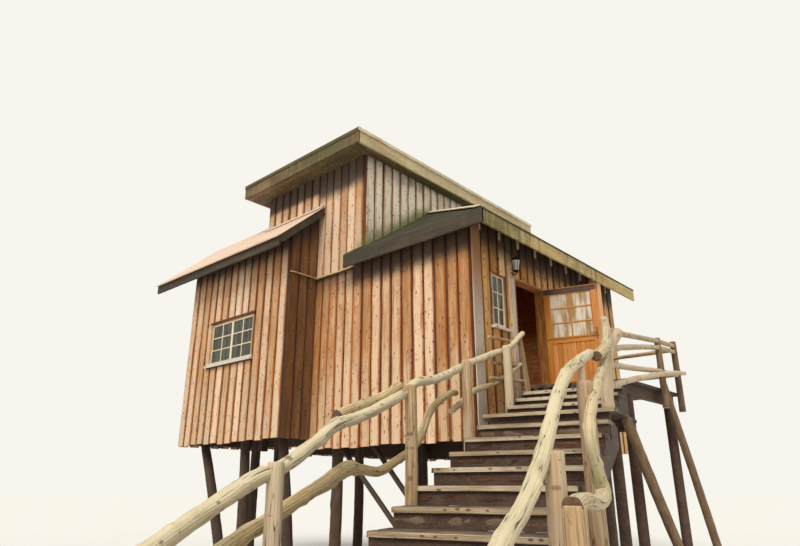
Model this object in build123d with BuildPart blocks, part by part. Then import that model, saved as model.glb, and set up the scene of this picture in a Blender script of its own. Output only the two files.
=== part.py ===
from build123d import *
import math
import os

os.makedirs("parts", exist_ok=True)

# Tree house on log posts, with a log-railed stair up to its open door.
# Millimetres. The origin is the centre of the foot of the corner post, on the ground.
# +X runs along the entrance wall away from the corner, +Y along the front wall, +Z up.

# Levels above the ground
skirt_level = 2365
floor_level = 3315
ledge_level = 5895

# Plan of the house, measured on the outer faces of its walls
post_inset = 400
house_length = 5700
house_width = 6000
wall_thickness = 140
bay_start = 4080
bay_width = 3750
bay_projection = 750
bay_depth = 2200
upper_setback = 2655
pier_width = 160
bay_skirt_rise = 180
seat_gap = 0.3

# Floor, joists and bearers
floor_thickness = 60
board_gap = 1
joist_depth = 180
joist_width = 90
joist_spacing = 760
bearer_depth = 220
bearer_width = 180

# Support posts
post_radius = 115
bay_post_top_radius = 95
post_lines_x = (0, 2450, 4900)
post_lines_y = (0, 3300, 5200)
bay_post_setback = 350
bay_post_lines_y = (400, 1650, 3350)
bay_post_lean = (-450, -150, -1250)
brace_radius = 50
brace_places = ((0, 700, 3700), (101, 150, 2850))

# Main roof
main_eave_level = 8765
main_eave_front = 450
main_eave_side = 250
main_eave_back = 400
main_eave_right = 650
main_roof_pitch = 27
roof_thickness = 90
main_fascia_height = 350
wall_plate_level = main_eave_level - main_fascia_height
fascia_thickness = 40
soffit_thickness = 18
ridge_width = 160
rafter_spacing = 640
rafter_inset = 180
rafter_width = 55
rafter_depth = 85
verge_board = 190
ledge_projection = 75
ledge_height = 45

# Entrance roof, a lean-to with one hip
entrance_eave_level = 6060
entrance_eave_front = 300
entrance_eave_side = 460
entrance_eave_right = 200
entrance_pitch = 28.5
entrance_hip_pitch = 34.5
entrance_return = 245
entrance_fascia_height = 270

# Bay roof, a gabled wing that leans on the front wall where it passes the house
bay_eave_level = 6515
bay_eave = 450
bay_verge = 180
bay_overhang = 1020
bay_pitch = 41.5
bay_fascia_height = 240

# Bay window
bay_window_start = 1120
bay_window_width = 1650
bay_window_sill = 1860
bay_window_height = 970

# Entrance wall window, door opening and lantern
side_window_start = 560
side_window_width = 440
side_window_sill = 1900
side_window_height = 990
door_start = 1290
door_width = 1080
door_height = 2010
jamb_width = 34
jamb_proud = 55
lantern_place = 1190
lantern_level = 5400
lantern_radius = 75
lantern_foot_radius = 45
lantern_cap_radius = 94
lantern_height = 190
lantern_reach = 170
lantern_rod = 12

# Door leaf
leaf_gap = 6
leaf_thickness = 45
leaf_foot_gap = 12
leaf_open_angle = 105
stile_width = 105
top_rail_width = 110
mid_rail_width = 105
bottom_rail_width = 150
leaf_glass_height = 870
panel_thickness = 18
glass_thickness = 6
pane_gap = 0.3
hinge_count = 3
hinge_pin_radius = 5
hinge_knuckle_radius = 9
hinge_knuckle_height = 45
hinge_plate_width = 45
hinge_plate_thickness = 5
hinge_bore_clearance = 0.1
hinge_face_gap = 0.5
hinge_offset = hinge_knuckle_radius + hinge_face_gap
hinge_edge = 2
hinge_inset = 220
hinge_pin_short = 6
handle_level = 1020
handle_length = 210
handle_width = 36
handle_plate = 4
handle_reach = 48
handle_rod = 14
handle_lever = 115

# Window joinery
sash_width = 60
sash_depth = 70
sash_proud = 25
sill_projection = 90
sill_height = 45

# Porch
porch_depth = 1750
porch_right = 4200
deck_thickness = 55
deck_wall_gap = 70
porch_beam_height = 180
porch_beam_width = 110
porch_post_place = 4000
porch_post_width = 170
porch_beam_inset = 90
porch_log_inset = 160
porch_log_radius = 85
landing_edge_left = -210
landing_beam_span = 1200

# Stair, turned a little towards the entrance wall
stair_angle = 14
stair_rise = 205
stair_going = 500
stair_riser_count = 13
landing_edge = -340
stair_left = -300
stair_width = 1850
tread_thickness = 60
tread_overlap = 35
stringer_thickness = 90
stringer_height = 260
riser_thickness = 40
riser_setback = 70
upper_rise = 162.5
upper_going = 420
upper_step_count = 3
upper_step_inset = 60
riser_inset = 12
carriage_width = 60

# Railings beside the flight
rail_post_radius = 75
post_taper = 0.9
post_foot_drop = 350
lower_rail_radius = 50
upper_steps_left = -460
thick_post_radius = 90
thick_post_gap = 60
thin_post_radius = 42
near_post_radius = 100
near_post_offset = 180

# Forked post, porch railing and the small rack beside the door
fork_radius = 95
fork_place = -200
fork_edge_gap = 5
terrace_post_radius = 60
terrace_rail_radius = 44
terrace_end_radius = 38
terrace_post_place = 3250
terrace_post_drop = 120
terrace_end_rail_levels = (3650, 4130)
rack_pole_radius = 28
rack_board_width = 95
rack_board_thickness = 50
rack_board_lean = 185
rack_board_place = 1250
rack_pole_start = 130
rack_pole_levels = (3290, 3540, 3960)
rack_pole_rise = 60
rack_board_top = 4100
terrace_bend_place = 1680
terrace_bend = 15
terrace_bend_radius = 48
terrace_rail_overrun = 90
terrace_post_tops = (4220, 4290)
landing_strut_offset = 80
landing_strut_foot = 2900
landing_strut_head = 820
porch_strut_foot = 4825
porch_strut_top = 3400
near_post_place = -4550
first_thick_post_place = -4300
second_thick_post_place = -2900
thick_post_tops = (1890, 2640)

# Corner of the house
front_x = -post_inset
side_y = -post_inset
right_x = front_x + house_length
back_y = side_y + house_width
bay_x = front_x - bay_projection
bay_back_x = bay_x + bay_depth
bay_y = side_y + bay_start
bay_end_y = bay_y + bay_width
upper_y = side_y + upper_setback

# Roof slopes
main_slope = math.tan(math.radians(main_roof_pitch))
entrance_slope = math.tan(math.radians(entrance_pitch))
hip_slope = math.tan(math.radians(entrance_hip_pitch))
bay_slope = math.tan(math.radians(bay_pitch))

# Roof edges
entrance_edge_x = front_x - entrance_eave_front
entrance_edge_y = side_y - entrance_eave_side
entrance_right_x = right_x + entrance_eave_right
bay_edge_x = bay_x - bay_eave
bay_ridge_x = (bay_x + bay_back_x) / 2
bay_ridge_level = bay_eave_level + (bay_ridge_x - bay_edge_x) * bay_slope
bay_verge_y = bay_y - bay_verge
bay_far_y = bay_end_y + bay_overhang

# Stair frame: u climbs, v points to the left, w is up
stair_frame = Plane(
    origin=(front_x, side_y, 0),
    x_dir=(math.cos(math.radians(stair_angle)), math.sin(math.radians(stair_angle)), 0),
    z_dir=(0, 0, 1),
)
stair_right = stair_left - stair_width
landing_level = stair_riser_count * stair_rise
hinge_x = front_x + door_start + door_width - jamb_width
hinge_y = side_y - jamb_proud - hinge_offset


def entrance_height(y):
    """Level of the entrance roof's main slope at a place along Y."""
    return entrance_eave_level + (y - entrance_edge_y) * entrance_slope


def hip_height(x):
    """Level of the entrance roof's hipped end at a place along X."""
    return entrance_eave_level + (x - entrance_edge_x) * hip_slope


def bay_height(x):
    """Level of the bay roof's front slope at a place along X."""
    return bay_eave_level + (x - bay_edge_x) * bay_slope


def stair_point(u, v, w):
    """A point of the stair frame in the model's own frame."""
    return stair_frame.from_local_coords((u, v, w))


def block(x_low, x_high, y_low, y_high, z_low, z_high, mode=Mode.ADD):
    """Adds or cuts a block between two corners."""
    centre = ((x_low + x_high) / 2, (y_low + y_high) / 2, (z_low + z_high) / 2)
    with Locations(centre):
        Box(x_high - x_low, y_high - y_low, z_high - z_low, mode=mode)


def stair_block(u_low, u_high, v_low, v_high, w_low, w_high):
    """Adds a block between two corners of the stair frame."""
    centre = stair_point((u_low + u_high) / 2, (v_low + v_high) / 2, (w_low + w_high) / 2)
    with Locations(Location(centre, (0, 0, stair_angle))):
        Box(u_high - u_low, v_high - v_low, w_high - w_low)


def log(start, end, start_radius, end_radius):
    """Adds a straight log, tapered where its two radii differ."""
    start = Vector(start)
    along = Vector(end) - start
    place = Plane(origin=start, z_dir=along.normalized())
    foot = (Align.CENTER, Align.CENTER, Align.MIN)
    with Locations(place.location):
        if start_radius == end_radius:
            Cylinder(start_radius, along.length, align=foot)
        else:
            Cone(start_radius, end_radius, along.length, align=foot)


def leaning_log(foot, top, foot_radius, top_radius):
    """Adds a leaning log that is cut level at its foot and at its top."""
    with BuildSketch(Plane.XY.move(Location(foot))) as foot_section:
        Circle(foot_radius)
    with BuildSketch(Plane.XY.move(Location(top))) as top_section:
        Circle(top_radius)
    loft([foot_section.sketch, top_section.sketch])


def branch(points, radii, across):
    """Adds a crooked branch: a ruled skin through a round section at each point.

    across is a direction that the branch never runs along.
    """
    points = [Vector(point) for point in points]
    runs = [(after - before).normalized() for before, after in zip(points, points[1:])]
    mitres = [runs[0]] + [(before + after).normalized() for before, after in zip(runs, runs[1:])] + [runs[-1]]
    sections = []
    for point, radius, along in zip(points, radii, mitres):
        with BuildSketch(Plane(origin=point, x_dir=along.cross(across), z_dir=along)) as section:
            Circle(radius)
        sections.append(section.sketch)
    loft(sections, ruled=True)


def stair_branch(route, radii):
    """Adds a crooked branch whose points are given in the stair frame."""
    branch([stair_point(*point) for point in route], radii, stair_frame.y_dir)


def save(part, name):
    """Labels a finished piece and writes it."""
    part.label = name
    export_step(part, f"parts/{name}.step")


# Floor decks, inside the walls
deck_x_low = front_x + wall_thickness
deck_x_high = right_x - wall_thickness
deck_y_low = side_y + wall_thickness
deck_y_high = back_y - wall_thickness
bay_deck_x_low = bay_x + wall_thickness
bay_deck_x_high = bay_back_x - wall_thickness
bay_deck_y_low = bay_y + wall_thickness
bay_deck_y_high = bay_end_y - wall_thickness
pier_x = deck_x_low + pier_width
floor_underside = floor_level - floor_thickness
joist_underside = floor_underside - joist_depth
bearer_underside = joist_underside - bearer_depth

with BuildPart() as floor_deck:
    block(deck_x_low, deck_x_high, deck_y_low, deck_y_high, floor_underside, floor_level)
    block(bay_deck_x_low, deck_x_low - board_gap, bay_deck_y_low, bay_deck_y_high, floor_underside,
          floor_level)
    block(deck_x_low - board_gap, pier_x, back_y, bay_deck_y_high, floor_underside, floor_level)
    block(pier_x, bay_deck_x_high, deck_y_high + board_gap, bay_deck_y_high, floor_underside,
          floor_level)
save(floor_deck.part, "floor_deck")

# Joists run along X and reach into the bay, bearers run along Y
joist_count = int((deck_y_high - deck_y_low - joist_width) / joist_spacing) + 1
bay_joist_count = int((bay_deck_y_high - back_y - 2 * joist_width) / joist_spacing) + 1
with BuildPart() as floor_joists:
    for index in range(joist_count):
        joist_y = deck_y_low + index * joist_spacing
        joist_x = bay_deck_x_low if joist_y > bay_deck_y_low else deck_x_low
        block(joist_x, deck_x_high, joist_y, joist_y + joist_width, joist_underside, floor_underside)
    for index in range(bay_joist_count):
        joist_y = back_y + joist_width + index * joist_spacing
        block(bay_deck_x_low, bay_deck_x_high, joist_y, joist_y + joist_width,
              joist_underside, floor_underside)
save(floor_joists.part, "floor_joists")

bay_bearer_x = (bay_x + bay_post_setback, bay_back_x - bay_post_setback)
with BuildPart() as floor_bearers:
    for bearer_x in post_lines_x:
        block(bearer_x - bearer_width / 2, bearer_x + bearer_width / 2, deck_y_low, deck_y_high,
              bearer_underside, joist_underside)
    for bearer_x, bearer_start in zip(bay_bearer_x, (bay_deck_y_low, back_y)):
        block(bearer_x - bearer_width / 2, bearer_x + bearer_width / 2, bearer_start,
              bay_deck_y_high, bearer_underside, joist_underside)
save(floor_bearers.part, "floor_bearers")

with BuildPart() as support_posts:
    for post_x in post_lines_x:
        for post_y in post_lines_y:
            log((post_x, post_y, 0), (post_x, post_y, bearer_underside), post_radius, post_radius)
    # The bay's logs lean: each stands on the ground away from the point that it carries
    for place, lean in zip(bay_post_lines_y, bay_post_lean):
        leaning_log((bay_bearer_x[0], bay_y + place + lean, 0),
                    (bay_bearer_x[0], bay_y + place, bearer_underside), post_radius, bay_post_top_radius)
    log((bay_bearer_x[1], bay_y + bay_post_lines_y[-1], 0),
        (bay_bearer_x[1], bay_y + bay_post_lines_y[-1], bearer_underside), post_radius, post_radius)
save(support_posts.part, "support_posts")

# Leaning braces stand on the ground and meet the second post and the bearer above
with BuildPart() as leaning_braces:
    for brace_x, foot_y, top_y in brace_places:
        leaning_log((brace_x, foot_y, 0), (brace_x, top_y, bearer_underside), brace_radius, brace_radius)
    add(support_posts.part, mode=Mode.SUBTRACT)
save(leaning_braces.part, "leaning_braces")


def wall_x(x_low, x_high, outline, holes=()):
    """Adds a wall between two X planes; its outline is given as (y, z)."""
    with BuildSketch(Plane.YZ.offset(x_low)) as profile:
        with BuildLine():
            Polyline(*outline, close=True)
        make_face()
        for y_low, y_high, z_low, z_high in holes:
            with Locations(((y_low + y_high) / 2, (z_low + z_high) / 2)):
                Rectangle(y_high - y_low, z_high - z_low, mode=Mode.SUBTRACT)
    extrude(profile.sketch, amount=x_high - x_low)


def wall_y(y_low, y_high, outline, holes=()):
    """Adds a wall between two Y planes; its outline is given as (x, z)."""
    with BuildSketch(Plane.XZ.offset(-y_low)) as profile:
        with BuildLine():
            Polyline(*outline, close=True)
        make_face()
        for x_low, x_high, z_low, z_high in holes:
            with Locations(((x_low + x_high) / 2, (z_low + z_high) / 2)):
                Rectangle(x_high - x_low, z_high - z_low, mode=Mode.SUBTRACT)
    extrude(profile.sketch, amount=-(y_high - y_low))


# Walls stop just under the roofs
def under_entrance(y):
    """Top of a wall under the entrance roof's main slope."""
    return entrance_height(y) - roof_thickness - seat_gap


def under_hip(x):
    """Top of a wall under the entrance roof's hipped end."""
    return hip_height(x) - roof_thickness - seat_gap


def under_bay(x):
    """Top of a wall under the bay roof, on either side of its ridge."""
    return bay_height(min(x, 2 * bay_ridge_x - x)) - roof_thickness - seat_gap


bay_window_y = (bay_y + bay_window_start, bay_y + bay_window_start + bay_window_width)
bay_window_z = (skirt_level + bay_window_sill, skirt_level + bay_window_sill + bay_window_height)
side_window_x = (front_x + side_window_start, front_x + side_window_start + side_window_width)
side_window_z = (skirt_level + side_window_sill, skirt_level + side_window_sill + side_window_height)
door_x = (front_x + door_start, front_x + door_start + door_width)
door_top = floor_level + door_height
bay_skirt_level = skirt_level + bay_skirt_rise

with BuildPart() as front_wall:
    wall_x(front_x, deck_x_low,
           [(side_y, skirt_level), (bay_y, skirt_level), (bay_y, ledge_level), (upper_y, ledge_level),
            (upper_y, under_hip(front_x)), (side_y, under_hip(front_x))])
save(front_wall.part, "front_wall")

with BuildPart() as upper_front_wall:
    wall_x(front_x, deck_x_low, [(upper_y, ledge_level), (back_y, ledge_level),
                                 (back_y, wall_plate_level), (upper_y, wall_plate_level)])
save(upper_front_wall.part, "upper_front_wall")

with BuildPart() as bay_front_wall:
    top = min(under_bay(bay_x), under_bay(bay_deck_x_low))
    wall_x(bay_x, bay_deck_x_low,
           [(bay_y, bay_skirt_level), (bay_end_y, bay_skirt_level), (bay_end_y, top), (bay_y, top)],
           [(*bay_window_y, *bay_window_z)])
save(bay_front_wall.part, "bay_front_wall")

with BuildPart() as bay_return_wall:
    wall_y(bay_y, bay_deck_y_low,
           [(bay_deck_x_low, bay_skirt_level), (front_x, bay_skirt_level), (front_x, under_bay(front_x)),
            (bay_deck_x_low, under_bay(bay_deck_x_low))])
save(bay_return_wall.part, "bay_return_wall")

with BuildPart() as bay_end_wall:
    wall_y(bay_deck_y_high, bay_end_y,
           [(bay_deck_x_low, bay_skirt_level), (bay_deck_x_high, bay_skirt_level),
            (bay_deck_x_high, under_bay(bay_deck_x_high)), (bay_ridge_x, under_bay(bay_ridge_x)),
            (bay_deck_x_low, under_bay(bay_deck_x_low))])
save(bay_end_wall.part, "bay_end_wall")

with BuildPart() as bay_back_wall:
    top = min(under_bay(bay_back_x), under_bay(bay_deck_x_high))
    wall_x(bay_deck_x_high, bay_back_x,
           [(back_y, bay_skirt_level), (bay_end_y, bay_skirt_level), (bay_end_y, top), (back_y, top)])
save(bay_back_wall.part, "bay_back_wall")

with BuildPart() as entrance_wall_left:
    wall_y(side_y, deck_y_low,
           [(deck_x_low, skirt_level), (door_x[0], skirt_level), (door_x[0], under_entrance(side_y)),
            (deck_x_low, under_entrance(side_y))],
           [(*side_window_x, *side_window_z)])
save(entrance_wall_left.part, "entrance_wall_left")

with BuildPart() as entrance_wall_over_door:
    block(*door_x, side_y, deck_y_low, door_top, under_entrance(side_y))
save(entrance_wall_over_door.part, "entrance_wall_over_door")

with BuildPart() as entrance_wall_under_door:
    block(*door_x, side_y, deck_y_low, skirt_level, floor_level)
save(entrance_wall_under_door.part, "entrance_wall_under_door")

with BuildPart() as entrance_wall_right:
    block(door_x[1], deck_x_high, side_y, deck_y_low, skirt_level, under_entrance(side_y))
save(entrance_wall_right.part, "entrance_wall_right")

with BuildPart() as right_end_wall:
    wall_x(deck_x_high, right_x,
           [(side_y, skirt_level), (back_y, skirt_level), (back_y, wall_plate_level),
            (upper_y, wall_plate_level), (upper_y, under_entrance(upper_y)),
            (side_y, under_entrance(side_y))])
save(right_end_wall.part, "right_end_wall")

with BuildPart() as back_wall:
    wall_y(deck_y_high, back_y,
           [(deck_x_low, skirt_level), (pier_x, skirt_level), (pier_x, ledge_level),
            (bay_deck_x_high, ledge_level), (bay_deck_x_high, skirt_level), (deck_x_high, skirt_level),
            (deck_x_high, wall_plate_level), (deck_x_low, wall_plate_level)])
save(back_wall.part, "back_wall")

with BuildPart() as upper_side_wall:
    block(deck_x_low, deck_x_high, upper_y, upper_y + wall_thickness, ledge_level, wall_plate_level)
save(upper_side_wall.part, "upper_side_wall")

# Main roof: a hipped shell with a short ridge board
main_x_low = front_x - main_eave_front
main_x_high = right_x + main_eave_right
main_y_low = upper_y - main_eave_side
main_y_high = back_y + main_eave_back
main_half = (main_y_high - main_y_low - ridge_width) / 2
main_rise = main_half * main_slope
main_centre = ((main_x_low + main_x_high) / 2, (main_y_low + main_y_high) / 2)
main_length = main_x_high - main_x_low
main_width = main_y_high - main_y_low
main_fascia_low = main_eave_level - main_fascia_height


def hipped_mass(level):
    """Adds a hipped mass whose eaves lie at a level."""
    with BuildSketch(Plane.XY.offset(level)) as eaves:
        with Locations(main_centre):
            Rectangle(main_length, main_width)
    with BuildSketch(Plane.XY.offset(level + main_rise)) as ridge:
        with Locations(main_centre):
            Rectangle(main_length - 2 * main_half, ridge_width)
    loft([eaves.sketch, ridge.sketch])


with BuildPart() as hipped_outside:
    hipped_mass(main_eave_level)

with BuildPart() as hipped_inside:
    hipped_mass(main_eave_level - roof_thickness)

def seam(start, end, z_low, z_high):
    """Cuts a thin upright seam along a line in plan, so that two slopes stay two solids."""
    middle = ((start[0] + end[0]) / 2, (start[1] + end[1]) / 2, z_low)
    seam_plane = Plane(origin=middle, x_dir=(end[0] - start[0], end[1] - start[1], 0), z_dir=(0, 0, 1))
    with BuildSketch(seam_plane) as seam_outline:
        Rectangle(math.dist(start, end) + 2 * seat_gap, seat_gap)
    extrude(seam_outline.sketch, amount=z_high - z_low, mode=Mode.SUBTRACT)


ridge_x_low = main_x_low + main_half
ridge_x_high = main_x_high - main_half
ridge_y_low = main_y_low + main_half
ridge_y_high = main_y_high - main_half
ridge_corners = [(ridge_x_low, ridge_y_low), (ridge_x_high, ridge_y_low), (ridge_x_high, ridge_y_high),
                 (ridge_x_low, ridge_y_high)]
eave_corners = [(main_x_low, main_y_low), (main_x_high, main_y_low), (main_x_high, main_y_high),
                (main_x_low, main_y_high)]
with BuildPart() as main_roof:
    block(main_x_low, main_x_high, main_y_low, main_y_high,
          main_eave_level - roof_thickness, main_eave_level)
    add(hipped_outside.part)
    add(hipped_inside.part, mode=Mode.SUBTRACT)
    for eave_corner, ridge_corner, next_corner in zip(eave_corners, ridge_corners,
                                                      ridge_corners[1:] + ridge_corners[:1]):
        seam(eave_corner, ridge_corner, main_fascia_low, main_eave_level + 2 * main_rise)
        seam(ridge_corner, next_corner, main_fascia_low, main_eave_level + 2 * main_rise)
save(main_roof.part, "main_roof")


def frame_ring(x_low, x_high, y_low, y_high, z_low, z_high, thickness, gap):
    """Adds four boards round a rectangle, each clear of the rectangle by a gap."""
    x_low, x_high, y_low, y_high = x_low - gap, x_high + gap, y_low - gap, y_high + gap
    block(x_low - thickness, x_high + thickness, y_low - thickness, y_low, z_low, z_high)
    block(x_low - thickness, x_high + thickness, y_high, y_high + thickness, z_low, z_high)
    block(x_low - thickness, x_low, y_low + seat_gap, y_high - seat_gap, z_low, z_high)
    block(x_high, x_high + thickness, y_low + seat_gap, y_high - seat_gap, z_low, z_high)


with BuildPart() as main_fascias:
    frame_ring(main_x_low, main_x_high, main_y_low, main_y_high, main_fascia_low, main_eave_level,
               fascia_thickness, seat_gap)
save(main_fascias.part, "main_fascias")

# Soffit boards close the eaves between the fascias and the walls
with BuildPart() as main_soffit:
    block(main_x_low, main_x_high, main_y_low, main_y_high, wall_plate_level + seat_gap,
          wall_plate_level + seat_gap + soffit_thickness)
    block(deck_x_low, deck_x_high, upper_y + wall_thickness, deck_y_high, wall_plate_level,
          wall_plate_level + 2 * soffit_thickness, mode=Mode.SUBTRACT)
save(main_soffit.part, "main_soffit")

# Entrance roof: the lower of two slopes, and a short return past the corner of the upper storey
with BuildPart() as entrance_slope_mass:
    wall_x(entrance_edge_x, entrance_right_x,
           [(entrance_edge_y, entrance_eave_level - roof_thickness), (entrance_edge_y, entrance_eave_level),
            (upper_y, entrance_height(upper_y)), (upper_y, entrance_eave_level - roof_thickness)])

hip_top_x = entrance_edge_x + (entrance_height(upper_y) - entrance_eave_level) / hip_slope
with BuildPart() as hip_mass:
    wall_y(entrance_edge_y, upper_y,
           [(entrance_edge_x, entrance_eave_level - roof_thickness), (entrance_edge_x, entrance_eave_level),
            (hip_top_x, entrance_height(upper_y)), (entrance_right_x, entrance_height(upper_y)),
            (entrance_right_x, entrance_eave_level - roof_thickness)])

with BuildPart() as entrance_mass:
    add(entrance_slope_mass.part)
    add(hip_mass.part, mode=Mode.INTERSECT)

with BuildPart() as entrance_roof:
    add(entrance_mass.part)
    with Locations((0, 0, -roof_thickness)):
        add(entrance_mass.part, mode=Mode.SUBTRACT)
    seam((entrance_edge_x, entrance_edge_y), (hip_top_x, upper_y), entrance_eave_level - roof_thickness,
         entrance_height(upper_y))
    wall_y(upper_y + seat_gap, upper_y + entrance_return,
           [(entrance_edge_x, entrance_eave_level - roof_thickness), (entrance_edge_x, entrance_eave_level),
            (front_x - seat_gap, hip_height(front_x)),
            (front_x - seat_gap, hip_height(front_x) - roof_thickness)])
save(entrance_roof.part, "entrance_roof")

entrance_fascia_low = entrance_eave_level - entrance_fascia_height
with BuildPart() as entrance_fascias:
    block(entrance_edge_x - seat_gap - fascia_thickness, entrance_right_x, entrance_edge_y - seat_gap
          - fascia_thickness, entrance_edge_y - seat_gap, entrance_fascia_low, entrance_eave_level)
    block(entrance_edge_x - seat_gap - fascia_thickness, entrance_edge_x - seat_gap,
          entrance_edge_y, upper_y + entrance_return, entrance_fascia_low, entrance_eave_level)
save(entrance_fascias.part, "entrance_fascias")

# Bay roof: one slope against the front wall, and a gable where it passes the house
with BuildPart() as bay_roof:
    wall_y(bay_verge_y, back_y,
           [(bay_edge_x, bay_eave_level - roof_thickness), (bay_edge_x, bay_eave_level),
            (front_x - seat_gap, bay_height(front_x)),
            (front_x - seat_gap, bay_height(front_x) - roof_thickness)])
    wall_y(back_y, bay_far_y,
           [(bay_edge_x, bay_eave_level - roof_thickness), (bay_edge_x, bay_eave_level),
            (bay_ridge_x, bay_ridge_level), (2 * bay_ridge_x - bay_edge_x, bay_eave_level),
            (2 * bay_ridge_x - bay_edge_x, bay_eave_level - roof_thickness),
            (bay_ridge_x, bay_ridge_level - roof_thickness)])
save(bay_roof.part, "bay_roof")

# Rafters carry the entrance eaves between the wall and the fascia
rafter_count = int((right_x - front_x) / rafter_spacing) + 1
bay_rafter_count = int((bay_end_y - bay_y - rafter_inset) / rafter_spacing) + 1
with BuildPart() as eaves_rafters:
    for index in range(rafter_count):
        rafter_x = front_x + rafter_inset + index * rafter_spacing
        wall_x(rafter_x, rafter_x + rafter_width,
               [(entrance_edge_y, under_entrance(entrance_edge_y)), (side_y, under_entrance(side_y)),
                (side_y, under_entrance(side_y) - rafter_depth),
                (entrance_edge_y, under_entrance(entrance_edge_y) - rafter_depth)])
    for index in range(bay_rafter_count):
        rafter_y = bay_y + rafter_inset + index * rafter_spacing
        wall_y(rafter_y, rafter_y + rafter_width,
               [(bay_edge_x, under_bay(bay_edge_x)), (bay_x, under_bay(bay_x)),
                (bay_x, under_bay(bay_x) - rafter_depth),
                (bay_edge_x, under_bay(bay_edge_x) - rafter_depth)])
save(eaves_rafters.part, "eaves_rafters")

# Bay fascias: level along the eaves, raking up the verges
bay_mirror_x = 2 * bay_ridge_x - bay_edge_x
bay_fascia_low = bay_eave_level - bay_fascia_height
with BuildPart() as bay_fascias:
    block(bay_edge_x - seat_gap - fascia_thickness, bay_edge_x - seat_gap, bay_verge_y, bay_far_y,
          bay_fascia_low, bay_eave_level)
    block(bay_mirror_x + seat_gap, bay_mirror_x + seat_gap + fascia_thickness, back_y, bay_far_y,
          bay_fascia_low, bay_eave_level)
    wall_y(bay_verge_y - seat_gap - fascia_thickness, bay_verge_y - seat_gap,
           [(bay_edge_x, bay_eave_level - verge_board), (bay_edge_x, bay_eave_level),
            (front_x - deck_wall_gap, bay_height(front_x - deck_wall_gap)),
            (front_x - deck_wall_gap, bay_height(front_x - deck_wall_gap) - verge_board)])
    wall_y(bay_far_y + seat_gap, bay_far_y + seat_gap + fascia_thickness,
           [(bay_edge_x, bay_eave_level - verge_board), (bay_edge_x, bay_eave_level),
            (bay_ridge_x, bay_ridge_level), (bay_mirror_x, bay_eave_level),
            (bay_mirror_x, bay_eave_level - verge_board), (bay_ridge_x, bay_ridge_level - verge_board)])
    seam((bay_ridge_x, bay_far_y), (bay_ridge_x, bay_far_y + fascia_thickness), bay_fascia_low, bay_ridge_level)
save(bay_fascias.part, "bay_fascias")

# Drip ledge on the front wall and round the bay's return
with BuildPart() as drip_ledge:
    block(front_x - ledge_projection, front_x, upper_y + entrance_return, bay_y - ledge_projection,
          ledge_level - ledge_height, ledge_level)
    block(bay_x, front_x, bay_y - ledge_projection, bay_y, ledge_level - ledge_height, ledge_level)
save(drip_ledge.part, "drip_ledge")

# Window joinery: a frame with its sashes, its glass and its sill
middle_y = sum(bay_window_y) / 2
sash_z = (bay_window_z[0] + sash_width, bay_window_z[1] - sash_width)
bay_panes = [(bay_window_y[0] + sash_width, middle_y - sash_width / 2),
             (middle_y + sash_width / 2, bay_window_y[1] - sash_width)]
side_sash_x = (side_window_x[0] + sash_width, side_window_x[1] - sash_width)
side_sash_z = (side_window_z[0] + sash_width, side_window_z[1] - sash_width)
with BuildPart() as window_frames:
    wall_x(bay_x - sash_proud, bay_x - sash_proud + sash_depth,
           [(bay_window_y[0], bay_window_z[0]), (bay_window_y[1], bay_window_z[0]),
            (bay_window_y[1], bay_window_z[1]), (bay_window_y[0], bay_window_z[1])],
           [(*pane, *sash_z) for pane in bay_panes])
    wall_y(side_y - sash_proud, side_y - sash_proud + sash_depth,
           [(side_window_x[0], side_window_z[0]), (side_window_x[1], side_window_z[0]),
            (side_window_x[1], side_window_z[1]), (side_window_x[0], side_window_z[1])],
           [(*side_sash_x, *side_sash_z)])
save(window_frames.part, "window_frames")

glass_set = sash_depth / 2 - sash_proud
with BuildPart() as window_glass:
    for pane_low, pane_high in bay_panes:
        block(bay_x + glass_set, bay_x + glass_set + glass_thickness, pane_low + pane_gap,
              pane_high - pane_gap, sash_z[0] + pane_gap, sash_z[1] - pane_gap)
    block(side_sash_x[0] + pane_gap, side_sash_x[1] - pane_gap, side_y + glass_set,
          side_y + glass_set + glass_thickness, side_sash_z[0] + pane_gap, side_sash_z[1] - pane_gap)
save(window_glass.part, "window_glass")

with BuildPart() as window_sills:
    block(bay_x - sill_projection, bay_x, bay_window_y[0] - sash_width, bay_window_y[1] + sash_width,
          bay_window_z[0] - sill_height, bay_window_z[0])
    block(side_window_x[0] - sash_width, side_window_x[1] + sash_width, side_y - sill_projection, side_y,
          side_window_z[0] - sill_height, side_window_z[0])
save(window_sills.part, "window_sills")

# Door frame: two jambs and a head
with BuildPart() as door_frame:
    for jamb_x in (door_x[0], door_x[1] - jamb_width):
        block(jamb_x, jamb_x + jamb_width, side_y - jamb_proud, deck_y_low, floor_level,
              door_top - jamb_width - seat_gap)
    block(*door_x, side_y - jamb_proud, deck_y_low, door_top - jamb_width, door_top)
save(door_frame.part, "door_frame")

# Door leaf, drawn on its own plane: x along the leaf from the hinge pin, y up
leaf_turn = math.radians(leaf_open_angle)
leaf_direction = (-math.cos(leaf_turn), -math.sin(leaf_turn), 0)
leaf_plane = Plane(
    origin=(hinge_x, hinge_y, floor_level),
    x_dir=leaf_direction,
    z_dir=(leaf_direction[1], -leaf_direction[0], 0),
)
leaf_width = door_width - 2 * jamb_width - 2 * leaf_gap
leaf_top = door_height - jamb_width - leaf_gap
leaf_low_x = leaf_gap
leaf_high_x = leaf_gap + leaf_width
opening_low_x = leaf_low_x + stile_width
opening_high_x = leaf_high_x - stile_width
glass_top = leaf_top - top_rail_width
glass_foot = glass_top - leaf_glass_height
panel_top = glass_foot - mid_rail_width
panel_foot = leaf_foot_gap + bottom_rail_width


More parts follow.
